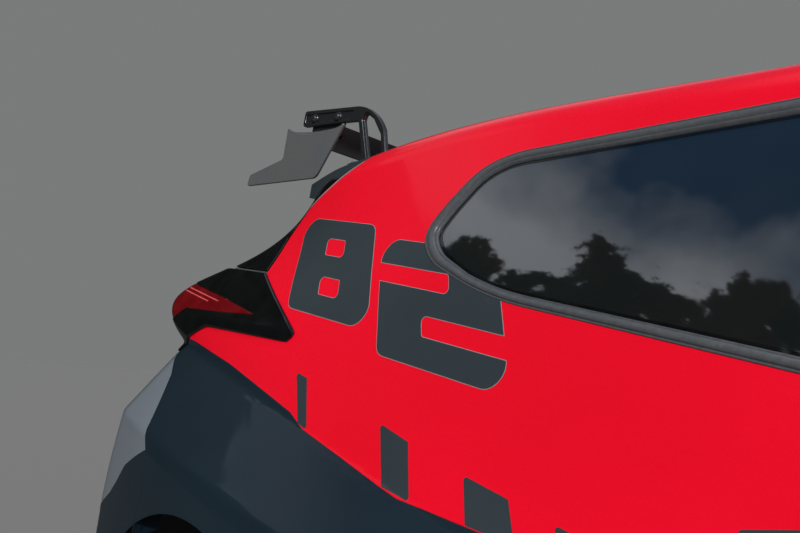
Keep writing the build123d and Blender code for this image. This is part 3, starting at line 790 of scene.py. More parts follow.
def metal(name, colour, roughness, stretch=(1, 1, 1), metallic=1.0):
    material, tree, shader = makeMaterial(name, colour, roughness, {"Metallic": metallic})
    lines = noise(tree, 400.0, 3.0, stretch)
    setSockets(shader, {
        "Base Color": shades(tree, lines, colour, scaled(colour, 0.82)),
        "Roughness": spread(tree, lines, roughness * 0.8, roughness * 1.3)})
    addBump(tree, shader, lines, 0.12, 0.0003)
    return material


weave = {
    "cell": 0.0026, "dark": (0.102, 0.106, 0.109), "light": (0.140, 0.146, 0.149),
    "tones": ((0.92, 0.94, 0.96), (1.0, 0.96, 0.90)), "toneScale": 14.0,
    "roughness": (0.28, 0.42), "coat": 0.35, "coatRoughness": 0.12, "relief": 0.0002,
}


# Twill of light and dark tows, each with its own gloss, under a thin lacquer
def carbonWeave(name):
    material, tree, shader = makeMaterial(name, weave["dark"], 0.4, {
        "Coat Weight": weave["coat"], "Coat Roughness": weave["coatRoughness"]})
    place = addNode(tree, "ShaderNodeTexCoord").outputs["Object"]
    turn = addNode(tree, "ShaderNodeMapping", {"Vector": place, "Rotation": (0, math.radians(45), 0)})
    tows = addNode(tree, "ShaderNodeTexChecker", {
        "Vector": turn.outputs["Vector"], "Scale": 1 / weave["cell"],
        "Color1": (*weave["dark"], 1), "Color2": (*weave["light"], 1)})
    tone = shades(tree, noise(tree, weave["toneScale"]), *weave["tones"])
    setSockets(shader, {
        "Base Color": mixed(tree, 1.0, tows.outputs["Color"], tone, blend_type="MULTIPLY"),
        "Roughness": mapRange(tree, tows.outputs["Fac"], 0.0, 1.0, *weave["roughness"])})
    addBump(tree, shader, tows.outputs["Fac"], 0.2, weave["relief"])
    return material


materials = {
    "body_red": paint("paintRed", (0.92, 0.0004, 0.019), (0.85, 0.0004, 0.015), coat=0.4),
    "seal_rubber": rubber("sealRubber"),
    "tinted_glass": tintedGlass("tintedGlass"),
    "gloss_black": plastic("glossBlack", (0.003, 0.003, 0.0035), 0.15, coat=1.0, coatIor=1.6, shine=0.1),
    "lens_red": plastic("lensRed", (0.14, 0.001, 0.004), 0.15, coat=1.0, coatIor=1.4, shine=0.2),
    "bumper_grey": paint("paintSlate", (0.012, 0.024, 0.034), (0.010, 0.019, 0.028), 0.35, 0.55),
    "liner_plastic": plastic("linerPlastic", (0.016, 0.016, 0.017), 0.6, grainSize=0.004, grainDepth=0.5),
    "underbody": plastic("underbodyCoat", (0.05, 0.05, 0.053), 0.55, grainSize=0.006, grainDepth=0.6),
    "steel": metal("beamSteel", (0.42, 0.42, 0.43), 0.35, (1, 30, 1)),
    "vinyl_grey": paint("vinylGrey", (0.040, 0.053, 0.060), (0.033, 0.044, 0.051), 0.32),
    # Light grey for the figures' edge layer and the line along the pillar's edge: painted highlights
    "painted_highlight_grey": paint("paintedHighlightGrey", (0.30, 0.30, 0.31), (0.25, 0.25, 0.26), 0.35, 0.6),
    "vinyl_pale": paint("vinylPale", (0.19, 0.21, 0.235), (0.16, 0.18, 0.205), 0.33, 0.8),
    # Lighter red for two thin strips on the lens: its inner lines, painted light as their highlights
    "lens_highlight_line": plastic("lensHighlightLine", (0.70, 0.10, 0.10), 0.2, coat=1.0),
    "carbon": carbonWeave("carbonWeave"),
    "anodised_black": metal("anodisedBlack", (0.095, 0.098, 0.102), 0.3, metallic=0.8),
}
report("materials")

# The pieces' sizes are in millimetres, with heights above the road
pastMiddle = 20  # half outlines run this far past the centre plane, where they are cut and mirrored

# Shut line of the tailgate in side view, and the cylinder about the hinge line that its front edge follows
shut = {
    "line": [(-205, 1290), (-326, 1198), (-344, 1130), (-344, 1056)],
    "behindLine": [(-209.5, 1294.5), (-331.5, 1201), (-350, 1131), (-350, 1062)],
    "hinge": (-110, 1300),
    "edgeRadius": 95,
    "arc": (184, 150, 14),  # first and last angle and points of the edge in side view
}
ditch = {"front": 545, "rear": 500, "rearX": -800, "start": -190, "gap": 0.5, "spacing": 12}


def ditchY(x):
    return ditch["rear"] + (ditch["front"] - ditch["rear"]) * (x - ditch["rearX"]) / (frontX - ditch["rearX"])


# Line of the side and tail between two places of the map, its height given over x
def alongSkin(heights, fromW, toW, spacing=0.006):
    w = np.linspace(fromW, toW, max(2, int(abs(toW - fromW) / spacing)))
    x = w.copy()
    for _ in range(12):
        z = heights(x / mm) * mm - rideHeight
        x = np.where(w < spineX, spineX - lookUp(w, z) * np.sin((spineX - w) / turnRadius), w)
    return np.stack([w, riseRadius * np.arctan2(z - spineZ, lookUp(w, z))], 1)


def atHeight(height, fromW, toW):
    return alongSkin(lambda x: np.full_like(x, height), fromW, toW)


def between(points):
    xs, heights = np.array(sorted(points), float).T
    return lambda x: np.interp(x, xs, heights)


# Arc about the hinge in side view, as far up as a distance from the centre plane
def hingeArc(radius, limitY):
    first, last, count = shut["arc"]
    angles = np.radians(np.linspace(first, last, count))
    x, height = shut["hinge"]
    line = sideView(np.stack([x + radius * np.cos(angles), height + radius * np.sin(angles)], 1))
    return line[-onSkin(line)[:, 1] > limitY * mm]


# Where the cylinder about the hinge line comes through the roof
def hingeEdge(radius, ys):
    y = np.array(ys, float) * mm
    hingeX, hingeZ = shut["hinge"][0] * mm, shut["hinge"][1] * mm - rideHeight
    low = np.full_like(y, hingeX - (radius - 0.1) * mm)
    high = np.full_like(y, hingeX)
    for _ in range(40):
        x = (low + high) / 2
        isOver = roofHeight(x, y) > hingeZ + np.sqrt((radius * mm) ** 2 - (x - hingeX) ** 2)
        low = np.where(isOver, x, low)
        high = np.where(isOver, high, x)
    return toMap(np.stack([x, y, roofHeight(x, y)], 1))


arch = {"radius": 378, "centre": -85, "height": 300, "sillTop": 300, "sillGap": 3, "firstAngle": 0.5}


def archPoints(fromAngle, toAngle, count=90):
    angles = np.radians(np.linspace(fromAngle, toAngle, count))
    x, height = arch["centre"], arch["height"]
    return np.stack([x + arch["radius"] * np.cos(angles), height + arch["radius"] * np.sin(angles)], 1)


# Angle at which the bumper's seam meets the arch, in degrees
def seamAngle():
    return math.degrees(math.acos((bumper["seam"][-1][0] - arch["centre"]) / arch["radius"]))


sidePanel = {
    "thickness": 45,
    "rim": 0.9,
    "paintEdge": [(-502, 906), (-466, 904), (-302, 886), (-168, 865), (-68, 849), (-22, 834), (89, 819),
                  (179, 806), (218, 801), (380, 803), (760, 812)],
    "frontPoints": 60,
    "ditchGap": 4,
}


# A slate part below the paint's edge and a red part above it, with the window's opening
def makeSidePanels():
    archFront = arch["centre"] + arch["radius"] + arch["sillGap"]
    bottom = sideView([(frontX, arch["sillTop"]), (archFront, arch["sillTop"])])
    over = sideView(archPoints(arch["firstAngle"], seamAngle()))
    seam = sideView(bumper["seam"][::-1])
    lampEdge = sideView(rounded(lamp["edge"], lamp["radii"], closed=False)[::-1])
    pillar = sideView(shut["line"][::-1])
    startY = ditchY(ditch["start"])
    roofEdge = hingeArc(shut["edgeRadius"], startY + sidePanel["ditchGap"])
    rail = topView([(ditch["start"], -startY), (frontX, -ditch["front"])], spacing=ditch["spacing"])
    edge = sideView(sidePanel["paintEdge"])
    k = int(np.argmin(np.hypot(*(lampEdge - edge[0]).T)))
    edge = np.vstack([lampEdge[k:k + 1], edge[2:]])

    def front(start, end):
        return start + (end - start) * np.linspace(0, 1, sidePanel["frontPoints"])[1:-1, None]

    opening = sideView(rounded(window["outline"], window["radii"]), closed=True, spacing=5)
    lower = joined(bottom, over, seam, lampEdge[:k], edge, front(edge[-1], bottom[0]))
    upper = joined(edge[::-1], lampEdge[k + 1:], pillar, roofEdge, rail, front(rail[-1], edge[-1]))
    for name, outline, slot, holes in (("sideLower", lower, "bumper_grey", []),
                                       ("sideUpper", upper, "body_red", [opening])):
        obj = panel(name, outline, materials[slot], sidePanel["thickness"] * mm, holes=holes,
                    rim=sidePanel["rim"] * mm)
        settlePair(obj, name, "side_panel", finish=skinShading)
    return opening


roof = {"thickness": 28, "top": 0.8, "spacing": 14, "rearGap": 1, "rearPoints": 60}


def makeRoof():
    startX, startY = ditch["start"], -ditchY(ditch["start"])
    frontY = -ditch["front"] + ditch["gap"]
    across = np.linspace(startY + roof["rearGap"], pastMiddle, roof["rearPoints"])
    rear = hingeEdge(shut["edgeRadius"], across)
    front = topView([(frontX, pastMiddle), (frontX, frontY)], spacing=ditch["spacing"])
    side = topView([(frontX, frontY), (startX, startY + ditch["gap"])], spacing=ditch["spacing"])
    obj = panel("roofPanel", joined(rear, front, side), materials["body_red"], roof["thickness"] * mm,
                top=roof["top"] * mm, spacing=roof["spacing"] * mm)
    mirroredWhole(obj)
    settle(obj, "shell", ["roof_panel"])


window = {
    "outline": [(700, 1345), (172, 1282), (115, 1258), (70, 1194), (49, 1147), (88, 1107), (225, 1064),
                (700, 1028)],
    "radii": [30, 400, 400, 400, 60, 400, 900, 30],
    "sealWidth": [(0.06, 0.17), (0.033, 0.023)],  # over x, in metres
    # share across and depth below the skin, from the body to the lip; the glass border takes the rest
    "seal": [(0.0, 12), (0.0, 1), (0.02, -0.6), (0.06, -1.3), (0.10, -1.2), (0.13, 0.4), (0.16, 0.4),
             (0.19, -1.6), (0.27, -2.9), (0.38, -3.4), (0.49, -3.0), (0.58, -1.8), (0.62, 0.2), (0.66, 0.2),
             (0.70, -0.2), (0.75, 0.8), (0.79, 3.0), (0.8, 4.8), (0.8, 16), (0.4, 20)],
    "border": [(0.78, 5.4), (0.78, 4.6), (1.0, 4.6), (1.0, 5.4)],
    "glassThickness": 5, "glassDepth": 5, "glassSpacing": 20, "glassRim": 0.3, "glassShare": 0.81,
}


def makeWindow(opening):
    opening = anticlockwise(opening)
    wide = np.interp(opening[:, 0], *window["sealWidth"])
    inner = shifted(opening, wide)
    for name, part, slot, node in (("windowSeal", "seal", "seal_rubber", "window_seal"),
                                   ("glassBorder", "border", "gloss_black", None)):
        profile = [(share, depth * mm) for share, depth in window[part]]
        settlePair(strip(name, opening, inner, profile, materials[slot]), name, node)
    pane = panel("quarterGlass", shifted(opening, wide * window["glassShare"]), materials["tinted_glass"],
                 window["glassThickness"] * mm, top=window["glassDepth"] * mm,
                 spacing=window["glassSpacing"] * mm, rim=window["glassRim"] * mm)
    settlePair(pane, "quarterGlass", "quarter_glass", finish=skinShading)


tail = {
    "half": 560, "low": 772, "shelf": 1058, "shelfRise": 5,
    "finY": 519.5, "finTop": 1235, "finX": (-340, -214),
    "roofEdge": 101, "roofEdgePoints": 40, "spacing": 11,
    "thickness": [(-250, -222), (45, 16)],  # over x: thin at the hinge, to clear the roof as it swings
    "glass": [(20, 1080), (-505, 1080), (-470, 1240), (20, 1240)],
    "glassRadii": [0, 40, 40, 0],
    "glassGap": 0.4, "glassThickness": 5, "glassSpacing": 16, "glassRim": 0.8,
    "deck": {"height": 1250, "blend": 25, "drop": 14},
    "plate": {"half": 270, "low": 812, "high": 934, "depth": 12, "slope": 9, "behindX": -0.45},
}


def heightOf(p):
    return (p[:, 2] + rideHeight) / mm


# The tailgate's top lies lower where the spoiler stands on it
def deckDepth(p):
    deck = tail["deck"]
    t = np.clip((heightOf(p) - deck["height"]) / deck["blend"], 0, 1)
    return deck["drop"] * mm * t * t * (3 - 2 * t)


# The deck and the number plate's bare recess, with its sloping edges
def plateDepth(p):
    plate, height = tail["plate"], heightOf(p)
    upward = np.minimum(height - plate["low"], plate["high"] - height)
    inward = np.minimum(upward, plate["half"] - np.abs(p[:, 1]) / mm)
    recess = (p[:, 0] < plate["behindX"]) * np.clip(inward / plate["slope"], 0, 1)
    return deckDepth(p) + plate["depth"] * mm * recess


def frameThickness(p):
    return np.interp(p[:, 0] / mm, *tail["thickness"]) * mm


def recessLine(inset, past=12):
    plate = tail["plate"]
    side, low, high = -plate["half"] + inset, plate["low"] + inset, plate["high"] - inset
    return rearView([(past, low), (side, low), (side, high), (past, high)])


def makeTailgate():
    notch = rounded(tail["glass"], tail["glassRadii"])
    finY, glassLow = tail["finY"], tail["glass"][0][1]
    outline = joined(
        rearView([(pastMiddle, tail["low"]), (-tail["half"], tail["low"]), (-tail["half"], tail["shelf"]),
                  (-finY, tail["shelf"] + tail["shelfRise"]), (-finY, tail["finTop"])]),
        topView([(x, -finY) for x in tail["finX"]]),
        hingeEdge(tail["roofEdge"], np.linspace(-finY, pastMiddle, tail["roofEdgePoints"])),
        rearView(notch[::-1]),
        rearView([(pastMiddle, glassLow), (pastMiddle, tail["low"])]),
    )
    obj = panel("tailgateFrame", outline, materials["body_red"], frameThickness, top=plateDepth,
                spacing=tail["spacing"] * mm, creases=[recessLine(0), recessLine(tail["plate"]["slope"])])
    mirroredWhole(obj, plateDepth)
    settle(obj, "tailgate", ["tailgate_frame"])
    glassEdge = shifted(joined(rearView(notch, closed=True)), tail["glassGap"] * mm)
    pane = panel("rearGlass", glassEdge, materials["tinted_glass"], tail["glassThickness"] * mm,
                 spacing=tail["glassSpacing"] * mm, rim=tail["glassRim"] * mm)
    mirroredWhole(pane)
    settle(pane, "tailgate", ["rear_glass"])


fin = {"thickness": 45, "gap": 1, "low": 1062.5, "sideX": -0.350}


def makeFins():
    innerY = tail["finY"] + fin["gap"]
    inner = rearView([(-innerY, tail["finTop"]), (-innerY, fin["low"])])
    outline = joined(
        sideView(shut["behindLine"][::-1]),
        hingeArc(tail["roofEdge"], innerY + fin["gap"]),
        topView([(x, -innerY) for x in tail["finX"][::-1]]),
        inner,
        atHeight(fin["low"], inner[-1][0], fin["sideX"]),
    )
    obj = panel("windowFin", outline, materials["gloss_black"], fin["thickness"] * mm, top=deckDepth)
    settlePair(obj, "windowFin", "window_fin", "tailgate",
               lambda left: skinShading(left, deckDepth))


# The lamp's housing wraps round the lens, and a ridge runs forward on it from the lens. The ends of lines
# along the skin are places w in metres
lamp = {
    "edge": [(-344, 1056), (-150, 962), (-166, 946), (-440, 938), (-500, 908), (-532, 876)],
    "radii": [0, 10, 10, 60, 40, 0],
    "innerY": 566, "low": 876, "high": 1056, "lowW": -0.532, "highW": -0.350,
    "proud": 5, "thickness": 40, "spacing": 6, "rim": 3.4,
    "ridge": [(-431, -349, -267, -171), (951, 957, 961, 964)],
    "ridgeHalf": 20, "ridgeRise": 6, "ridgeRounding": 0.04,
    "ridgeEnds": [(-152, 130), (-540, 80)],  # x of each end, and how far it takes to rise
    "lensTop": [(-790, 1036), (-440, 998), (-296, 978)],
    "lensLow": [(-790, 900), (-610, 925), (-552, 962), (-420, 969), (-296, 978)],
    "lensHeights": (1018, 922),  # at the inner edge
    "lensTip": (-0.2975, -0.298), "notchTip": (-0.297, -0.298),
    "lensGap": 0.6, "lensThickness": 10, "lensSink": 2, "lensSpacing": 7,
    # Two thin lighter red strips on the lens, painted as the highlights of its inner lines
    "lines": [(9, -0.62, -0.42), (17, -0.62, -0.45)],  # below the lens's top, from and to w
    "lineWidth": 2.2, "lineSink": 1.6,
}


def housingDepth(p):
    x = p[:, 0] / mm
    off = np.abs(heightOf(p) - np.interp(x, *lamp["ridge"])) / lamp["ridgeHalf"]
    (frontEnd, frontRun), (rearEnd, rearRun) = lamp["ridgeEnds"]
    ends = np.clip((frontEnd - x) / frontRun, 0, 1) * np.clip((x - rearEnd) / rearRun, 0, 1)
    rounding = lamp["ridgeRounding"]
    rise = np.clip(1 + rounding - np.sqrt(off ** 2 + rounding ** 2), 0, 1)
    return -(lamp["proud"] + lamp["ridgeRise"] * ends * rise) * mm


# Map w of the lamp's inner edge at a height
def atSide(height):
    return rearView([(-lamp["innerY"], height)])[0][0]


# A film within one outline, on both sides of the car
def filmPair(name, loop, material, slot, **how):
    obj = sheet(name, [loop], lambda points: insideLoop(points, loop), materials[material], **how)
    settlePair(obj, name, finish=skinShading)


def makeLampCluster():
    top, bottom = between(lamp["lensTop"]), between(lamp["lensLow"])
    high, low = lamp["lensHeights"]
    inner = -lamp["innerY"]
    housing = joined(
        sideView(rounded(lamp["edge"], lamp["radii"], closed=False)),
        atHeight(lamp["low"], lamp["lowW"], atSide(lamp["low"]))[1:],
        rearView([(inner, lamp["low"]), (inner, low)]),
        alongSkin(bottom, atSide(low), lamp["notchTip"][1]),
        alongSkin(top, lamp["notchTip"][0], atSide(high)),
        rearView([(inner, high), (inner, lamp["high"])]),
        atHeight(lamp["high"], atSide(lamp["high"]), lamp["highW"]),
    )
    ridge = sideView(np.column_stack(lamp["ridge"]))
    obj = panel("lampHousing", housing, materials["gloss_black"], lamp["thickness"] * mm, top=housingDepth,
                rim=lamp["rim"] * mm, spacing=lamp["spacing"] * mm, creases=[ridge])
    settlePair(obj, "lampHousing", "lamp_housing",
               finish=lambda left: skinShading(left, housingDepth))
    lens = anticlockwise(joined(
        alongSkin(top, atSide(high), lamp["lensTip"][0]),
        alongSkin(bottom, lamp["lensTip"][1], atSide(low)),
        rearView([(inner, low), (inner, high)]),
    ))
    obj = panel("lampLens", shifted(lens, lamp["lensGap"] * mm), materials["lens_red"],
                lamp["lensThickness"] * mm, top=(lamp["lensSink"] - lamp["proud"]) * mm,
                spacing=lamp["lensSpacing"] * mm)
    settlePair(obj, "lampLens", "lamp_lens", finish=skinShading)
    # Lighter strips along the lens: painted highlights of its inner lines
    for k, (drop, fromW, toW) in enumerate(lamp["lines"]):
        band = joined(
            alongSkin(lambda x: top(x) - drop, fromW, toW),
            alongSkin(lambda x: top(x) - drop - lamp["lineWidth"], toW, fromW),
        )
        filmPair(f"lensHighlightLine{k}", band, "lens_highlight_line", "lens_red", proud=(lamp["proud"] - lamp["lineSink"]) * mm)


hatchSeal = {"heights": (1061.4, 1056.4), "past": 8, "sideW": -0.346, "thickness": 28, "depth": 6, "rim": 0.6}


# Rubber lip that closes the gap between the lamp and the tailgate's lower corner
def makeHatchSeal():
    top, low = hatchSeal["heights"]
    inner = -lamp["innerY"] + hatchSeal["past"]
    outline = joined(
        atHeight(low, hatchSeal["sideW"], atSide(low)),
        rearView([(inner, low), (inner, top)]),
        atHeight(top, atSide(top), hatchSeal["sideW"]),
    )
    obj = panel("hatchSeal", outline, materials["seal_rubber"], hatchSeal["thickness"] * mm,
                top=hatchSeal["depth"] * mm, rim=hatchSeal["rim"] * mm)
    settlePair(obj, "hatchSeal", finish=skinShading)


bumper = {
    "seam": [(-532, 876), (-470, 842), (-300, 700), (-292, 590)],
    "low": 235, "centreTop": 766, "lampGap": 0.5, "thickness": 14, "spacing": 11,
}


def makeBumper():
    low, middleTop = bumper["low"], bumper["centreTop"]
    lampLow = lamp["low"] - bumper["lampGap"]
    end = 180 - math.degrees(math.asin((low - arch["height"]) / arch["radius"]))
    around = archPoints(seamAngle(), end)
    outline = joined(
        rearView([(pastMiddle, middleTop), (-lamp["innerY"], middleTop), (-lamp["innerY"], lampLow)]),
        atHeight(lampLow, atSide(lamp["low"]), lamp["lowW"]),
        sideView(bumper["seam"])[1:],
        sideView(around),
        atHeight(low, sideView([around[-1]])[0][0], rearView([(pastMiddle, low)])[0][0]),
        rearView([(pastMiddle, low), (pastMiddle, middleTop)]),
    )
    obj = panel("rearBumper", outline, materials["bumper_grey"], bumper["thickness"] * mm,
                spacing=bumper["spacing"] * mm)
    mirroredWhole(obj)
    settle(obj, "shell", ["rear_bumper"])


# Films in side view: two plain block figures, bars and patches, and light lines painted as highlights round
# the figures and along the pillar's edge. A figure has its name, the place of its lower rear corner, width,
# height and its cuts as shares of both
livery = {
    "figures": [
        ("figure8", (-212, 1003), 232, 170, [((0.37, 0.63), (0.61, 0.80)), ((0.37, 0.63), (0.20, 0.39))]),
        ("figure2", (62, 962), 262, 178, [((-0.2, 0.62), (0.60, 0.77)), ((0.38, 1.2), (0.23, 0.40))]),
    ],
    "slant": -0.6,
    "fall": -0.05,  # of the figures' base over x
    "figureRadius": 26, "cutRadius": 7, "figureSpacing": 5,
    # part, how far it stands out round the figure and over the skin, in metres. The edge layer is a light
    # grey border round each figure, a painted highlight along the film's edge
    "layers": [("Edge", 0.0011, 0.0003, "painted_highlight_grey"), ("Film", 0.0, 0.0007, "vinyl_grey")],
    "bars": [
        [(-99, 907), (-67, 903), (-9, 834), (-38, 840)],
        [(132, 876), (195, 866), (238, 803), (184, 807)],
        [(302, 852), (374, 845), (402, 805), (331, 804)],
        [(440, 838), (500, 833), (519, 807), (460, 806)],
        [(596, 816), (622, 890), (752, 930), (752, 822)],
    ],
    "barRadius": 3,
    # Thin light grey line along the pillar's edge: a painted highlight
    "pillarHighlight": [(-206, 1287), (-324, 1197), (-322, 1194.6), (-203.5, 1285)],
    "patch": [(-531, 873), (-470, 838), (-335, 726), (-372, 706), (-411, 681), (-436, 645), (-462, 618),
              (-492, 597), (-520, 574)],
    "patchTail": (-640, 560),
    "patchLow": [(-600, 520), (-520, 572)],
    "patchTop": [(-700, 872), (-500, 872)],
}


def makeFigure(name, corner, width, tall, cuts, opening):
    def block(us, vs, radius):
        corners = []
        for u, v in ((us[0], vs[0]), (us[1], vs[0]), (us[1], vs[1]), (us[0], vs[1])):
            x = corner[0] + width * u + livery["slant"] * tall * v
            corners.append((x, corner[1] + tall * v + livery["fall"] * width * u))
        loop = sideView(rounded(corners, radius), closed=True, spacing=livery["figureSpacing"])
        return anticlockwise(loop)

    whole = block((0, 1), (0, 1), livery["figureRadius"])
    holes = [block(us, vs, livery["cutRadius"]) for us, vs in cuts]
    # The edge layer lays a light grey border round the figure and its cuts: a painted highlight
    for part, grow, proud, material in livery["layers"]:
        loops = [shifted(whole, -grow), opening, *[shifted(hole, grow) for hole in holes]]
        obj = sheet(name + part, loops, lambda points: insidePanel(points, loops), materials[material],
                    proud=proud)
        settlePair(obj, name + part, finish=skinShading)


def makeLivery(opening):
    for figure in livery["figures"]:
        makeFigure(*figure, opening)
    for k, bar in enumerate(livery["bars"]):
        loop = sideView(rounded(bar, livery["barRadius"]), closed=True)
        filmPair(f"bar{k}", loop, "vinyl_grey", "vinyl_grey")
    # A light grey line along the pillar's edge, painted as its highlight
    filmPair("pillarHighlight", sideView(livery["pillarHighlight"], closed=True), "painted_highlight_grey", "vinyl_grey",
             spacing=0.004)
    edge = sideView(livery["patch"])
    tailW = rearView([livery["patchTail"]])[0][0]
    low, top = between(livery["patchLow"]), between(livery["patchTop"])
    loop = joined(edge, alongSkin(low, edge[-1][0] - 0.004, tailW), alongSkin(top, tailW - 0.02, edge[0][0]))
    filmPair("cornerPatch", loop, "vinyl_pale", "vinyl_grey")


wing = {
    # x, height on the centre line and height roofHalf beside it
    "spoilerTop": [(-100, 1382, 1326), (-205, 1359, 1302), (-320, 1338, 1280), (-420, 1318, 1246),
                   (-560, 1298, 1212)],
    "half": 565, "lead": (-342, 1372), "tail": (-518, 1369), "dip": (-430, 1364), "belly": (-410, 1345),
    "tailThickness": 4, "arcPoints": 30, "bevel": 0.4,
    "plateTop": [(-329, 1376), (-425, 1357), (-518, 1373)],
    "plateRest": [(-516, 1306), (-630, 1272), (-635, 1247), (-392, 1265)],
    "plateRadii": (3, 9, 6, 5, 22, 4), "plateThickness": 6, "plateBevel": 1.0,
}
spoilerHeight = crownedFace(wing["spoilerTop"])


def makeWing():
    body, half = bodyOf["wing_plane"], wing["half"]
    tailX, tailHeight = wing["tail"]
    tailUnder = (tailX + 1, tailHeight - wing["tailThickness"])
    upper = through(wing["lead"], wing["dip"], wing["tail"], wing["arcPoints"])
    lower = through(tailUnder, wing["belly"], wing["lead"], wing["arcPoints"])
    section = np.vstack([upper, lower[:-1]])
    obj = slab("wingPlane", [section], -half, half, wing["bevel"], materials["carbon"])
    settle(obj, body, ["wing_plane"])
    top = through(*wing["plateTop"])
    plate = np.vstack([top[1:-1], rounded([top[-1], *wing["plateRest"], top[0]], wing["plateRadii"])])
    obj = slab("endPlate", [plate], -half, -half - wing["plateThickness"], wing["plateBevel"],
               materials["carbon"])
    settlePair(obj, "endPlate", "end_plate", body, tidied)


# A bracket is a thin web with a rim, an arm over the wing and a strut, in side view between y planes
bracket = {
    "near": -545, "web": -552, "far": -555, "overlap": 0.5,
    "arm": [(-308, 1384), (-334, 1384), (-488, 1380), (-488, 1414), (-318, 1414)],
    "armRadii": (2, 10, 6, 6, 0),
    "arch": [(-318, 1414), (-262, 1396), (-228, 1362)],
    "feet": [(-204, 1292), (-268, 1284)],
    "window": [(-290, 1399), (-266, 1386), (-238, 1354), (-222, 1296), (-254, 1291), (-293, 1385)],
    "windowRadius": 7, "rimWidth": 3.5,
    "recess": [(-481, 1388), (-481, 1406), (-326, 1407), (-334, 1390)],
    "recessRadius": 3,
    "webBevel": 0.6, "rimBevel": 0.9, "bossBevel": 0.8,
    "bolts": [(-377, 1396), (-453, 1396)], "boss": 11,
    "foot": {"front": -212, "rear": -300, "half": 18, "y": 550, "thickness": 5, "sink": 3},
    "footBolts": {"x": -290, "apart": 12, "sink": 0.2, "lean": -0.12, "scale": 0.6},
    "tab": [(-364, 1352), (-364, 1408), (-466, 1408), (-466, 1352)],
    "tabRadii": (2, 8, 8, 2), "tabPlanes": (-544.7, -538.7),
}


# The foot's two faces follow the spoiler's top
def makeFoot():
    foot = bracket["foot"]
    verts = []
    for lift in (-foot["sink"], foot["thickness"]):
        for x, side in ((foot["front"], -1), (foot["rear"], -1), (foot["rear"], 1), (foot["front"], 1)):
            place = np.array((x, -foot["y"] + side * foot["half"])) * mm
            verts.append((*place, spoilerHeight(*place) + lift * mm))
    faces = [(0, 1, 2, 3), (7, 6, 5, 4), (0, 4, 5, 1), (1, 5, 6, 2), (2, 6, 7, 3), (3, 7, 4, 0)]
    return tidied(newObject("bracketFoot", verts, faces, materials["anodised_black"]))


def makeBrackets():
    body, material = bodyOf["wing_bracket_right"], materials["anodised_black"]
    web, far = bracket["web"], bracket["far"]
    rimStart = web + bracket["overlap"]
    arm = rounded(bracket["arm"], bracket["armRadii"], closed=False)
    outline = np.vstack([arm[:-1], through(*bracket["arch"], 24), bracket["feet"]])
    gap = anticlockwise(rounded(bracket["window"], bracket["windowRadius"]))
    recess = rounded(bracket["recess"], bracket["recessRadius"])
    rimLoops = [outline, recess, shifted(gap, -bracket["rimWidth"])]
    plates = [("bracketWeb", [outline, gap], bracket["near"], web, bracket["webBevel"], "wing_bracket"),
              ("bracketRim", rimLoops, rimStart, far, bracket["rimBevel"], None)]
    for k, centre in enumerate(bracket["bolts"]):
        boss = circle(centre, bracket["boss"])
        plates.append((f"boss{k}", [boss], rimStart, far, bracket["bossBevel"], None))
    for name, loops, near, end, bevel, node in plates:
        settlePair(slab(name, loops, near, end, bevel, material), name, node, body, tidied)
    settlePair(makeFoot(), "bracketFoot", None, body, tidied)
    tab = rounded(bracket["tab"], bracket["tabRadii"])
    obj = slab("wingTab", [tab], *bracket["tabPlanes"], bracket["webBevel"], material)
    settlePair(obj, "wingTab", "wing_tab", bodyOf["wing_tab_right"], tidied)


# In metres, in the order of the node group's inputs
boltShape = {"Head Radius": 0.0058, "Head Height": 0.0036, "Washer Radius": 0.0078, "Washer Height": 0.001}


# Washer and hexagon head set on every point of a mesh
def boltGroup(material):
    group = bpy.data.node_groups.new("boltRow", "GeometryNodeTree")
    sockets = [("Geometry", "INPUT", "Geometry"), *[(name, "INPUT", "Float") for name in boltShape],
               ("Turn", "INPUT", "Vector"), ("Geometry", "OUTPUT", "Geometry")]
    for name, direction, kind in sockets:
        group.interface.new_socket(name, in_out=direction, socket_type="NodeSocket" + kind)
    given = addNode(group, "NodeGroupInput").outputs
    bolt = addNode(group, "GeometryNodeJoinGeometry")
    for corners, radius, height, below in ((6, "Head Radius", "Head Height", given["Washer Height"]),
                                           (28, "Washer Radius", "Washer Height", 0.0)):
        cylinder = addNode(group, "GeometryNodeMeshCylinder", {
            "Vertices": corners, "Radius": given[radius], "Depth": given[height]})
        middle = addNode(group, "ShaderNodeMath", {0: given[height], 1: 0.5, 2: below},
                         operation="MULTIPLY_ADD")
        place = addNode(group, "ShaderNodeCombineXYZ", {"Z": middle.outputs[0]})
        moved = addNode(group, "GeometryNodeTransform", {
            "Geometry": cylinder.outputs["Mesh"], "Translation": place.outputs["Vector"]})
        setSockets(bolt, {"Geometry": moved.outputs["Geometry"]})
    copies = addNode(group, "GeometryNodeInstanceOnPoints", {
        "Points": given["Geometry"], "Instance": bolt.outputs["Geometry"], "Rotation": given["Turn"]})
    real = addNode(group, "GeometryNodeRealizeInstances", {"Geometry": copies.outputs["Instances"]})
    coated = addNode(group, "GeometryNodeSetMaterial", {
        "Geometry": real.outputs["Geometry"], "Material": material})
    addNode(group, "NodeGroupOutput", {"Geometry": coated.outputs["Geometry"]})
    return group


def boltRow(name, points, turn, group, scale=1.0):
    mesh = bpy.data.meshes.new(name + "Points")
    mesh.from_pydata([tuple(np.array(p) * mm) for p in points], [], [])
    obj = addObject(name, mesh)
    modifier = obj.modifiers.new("boltRow", "NODES")
    modifier.node_group = group
    values = {"Turn": turn, **{key: value * scale for key, value in boltShape.items()}}
    for item in group.interface.items_tree:
        if item.name in values:
            modifier[item.identifier] = values[item.name]
    return tidied(applied(obj, modifier))


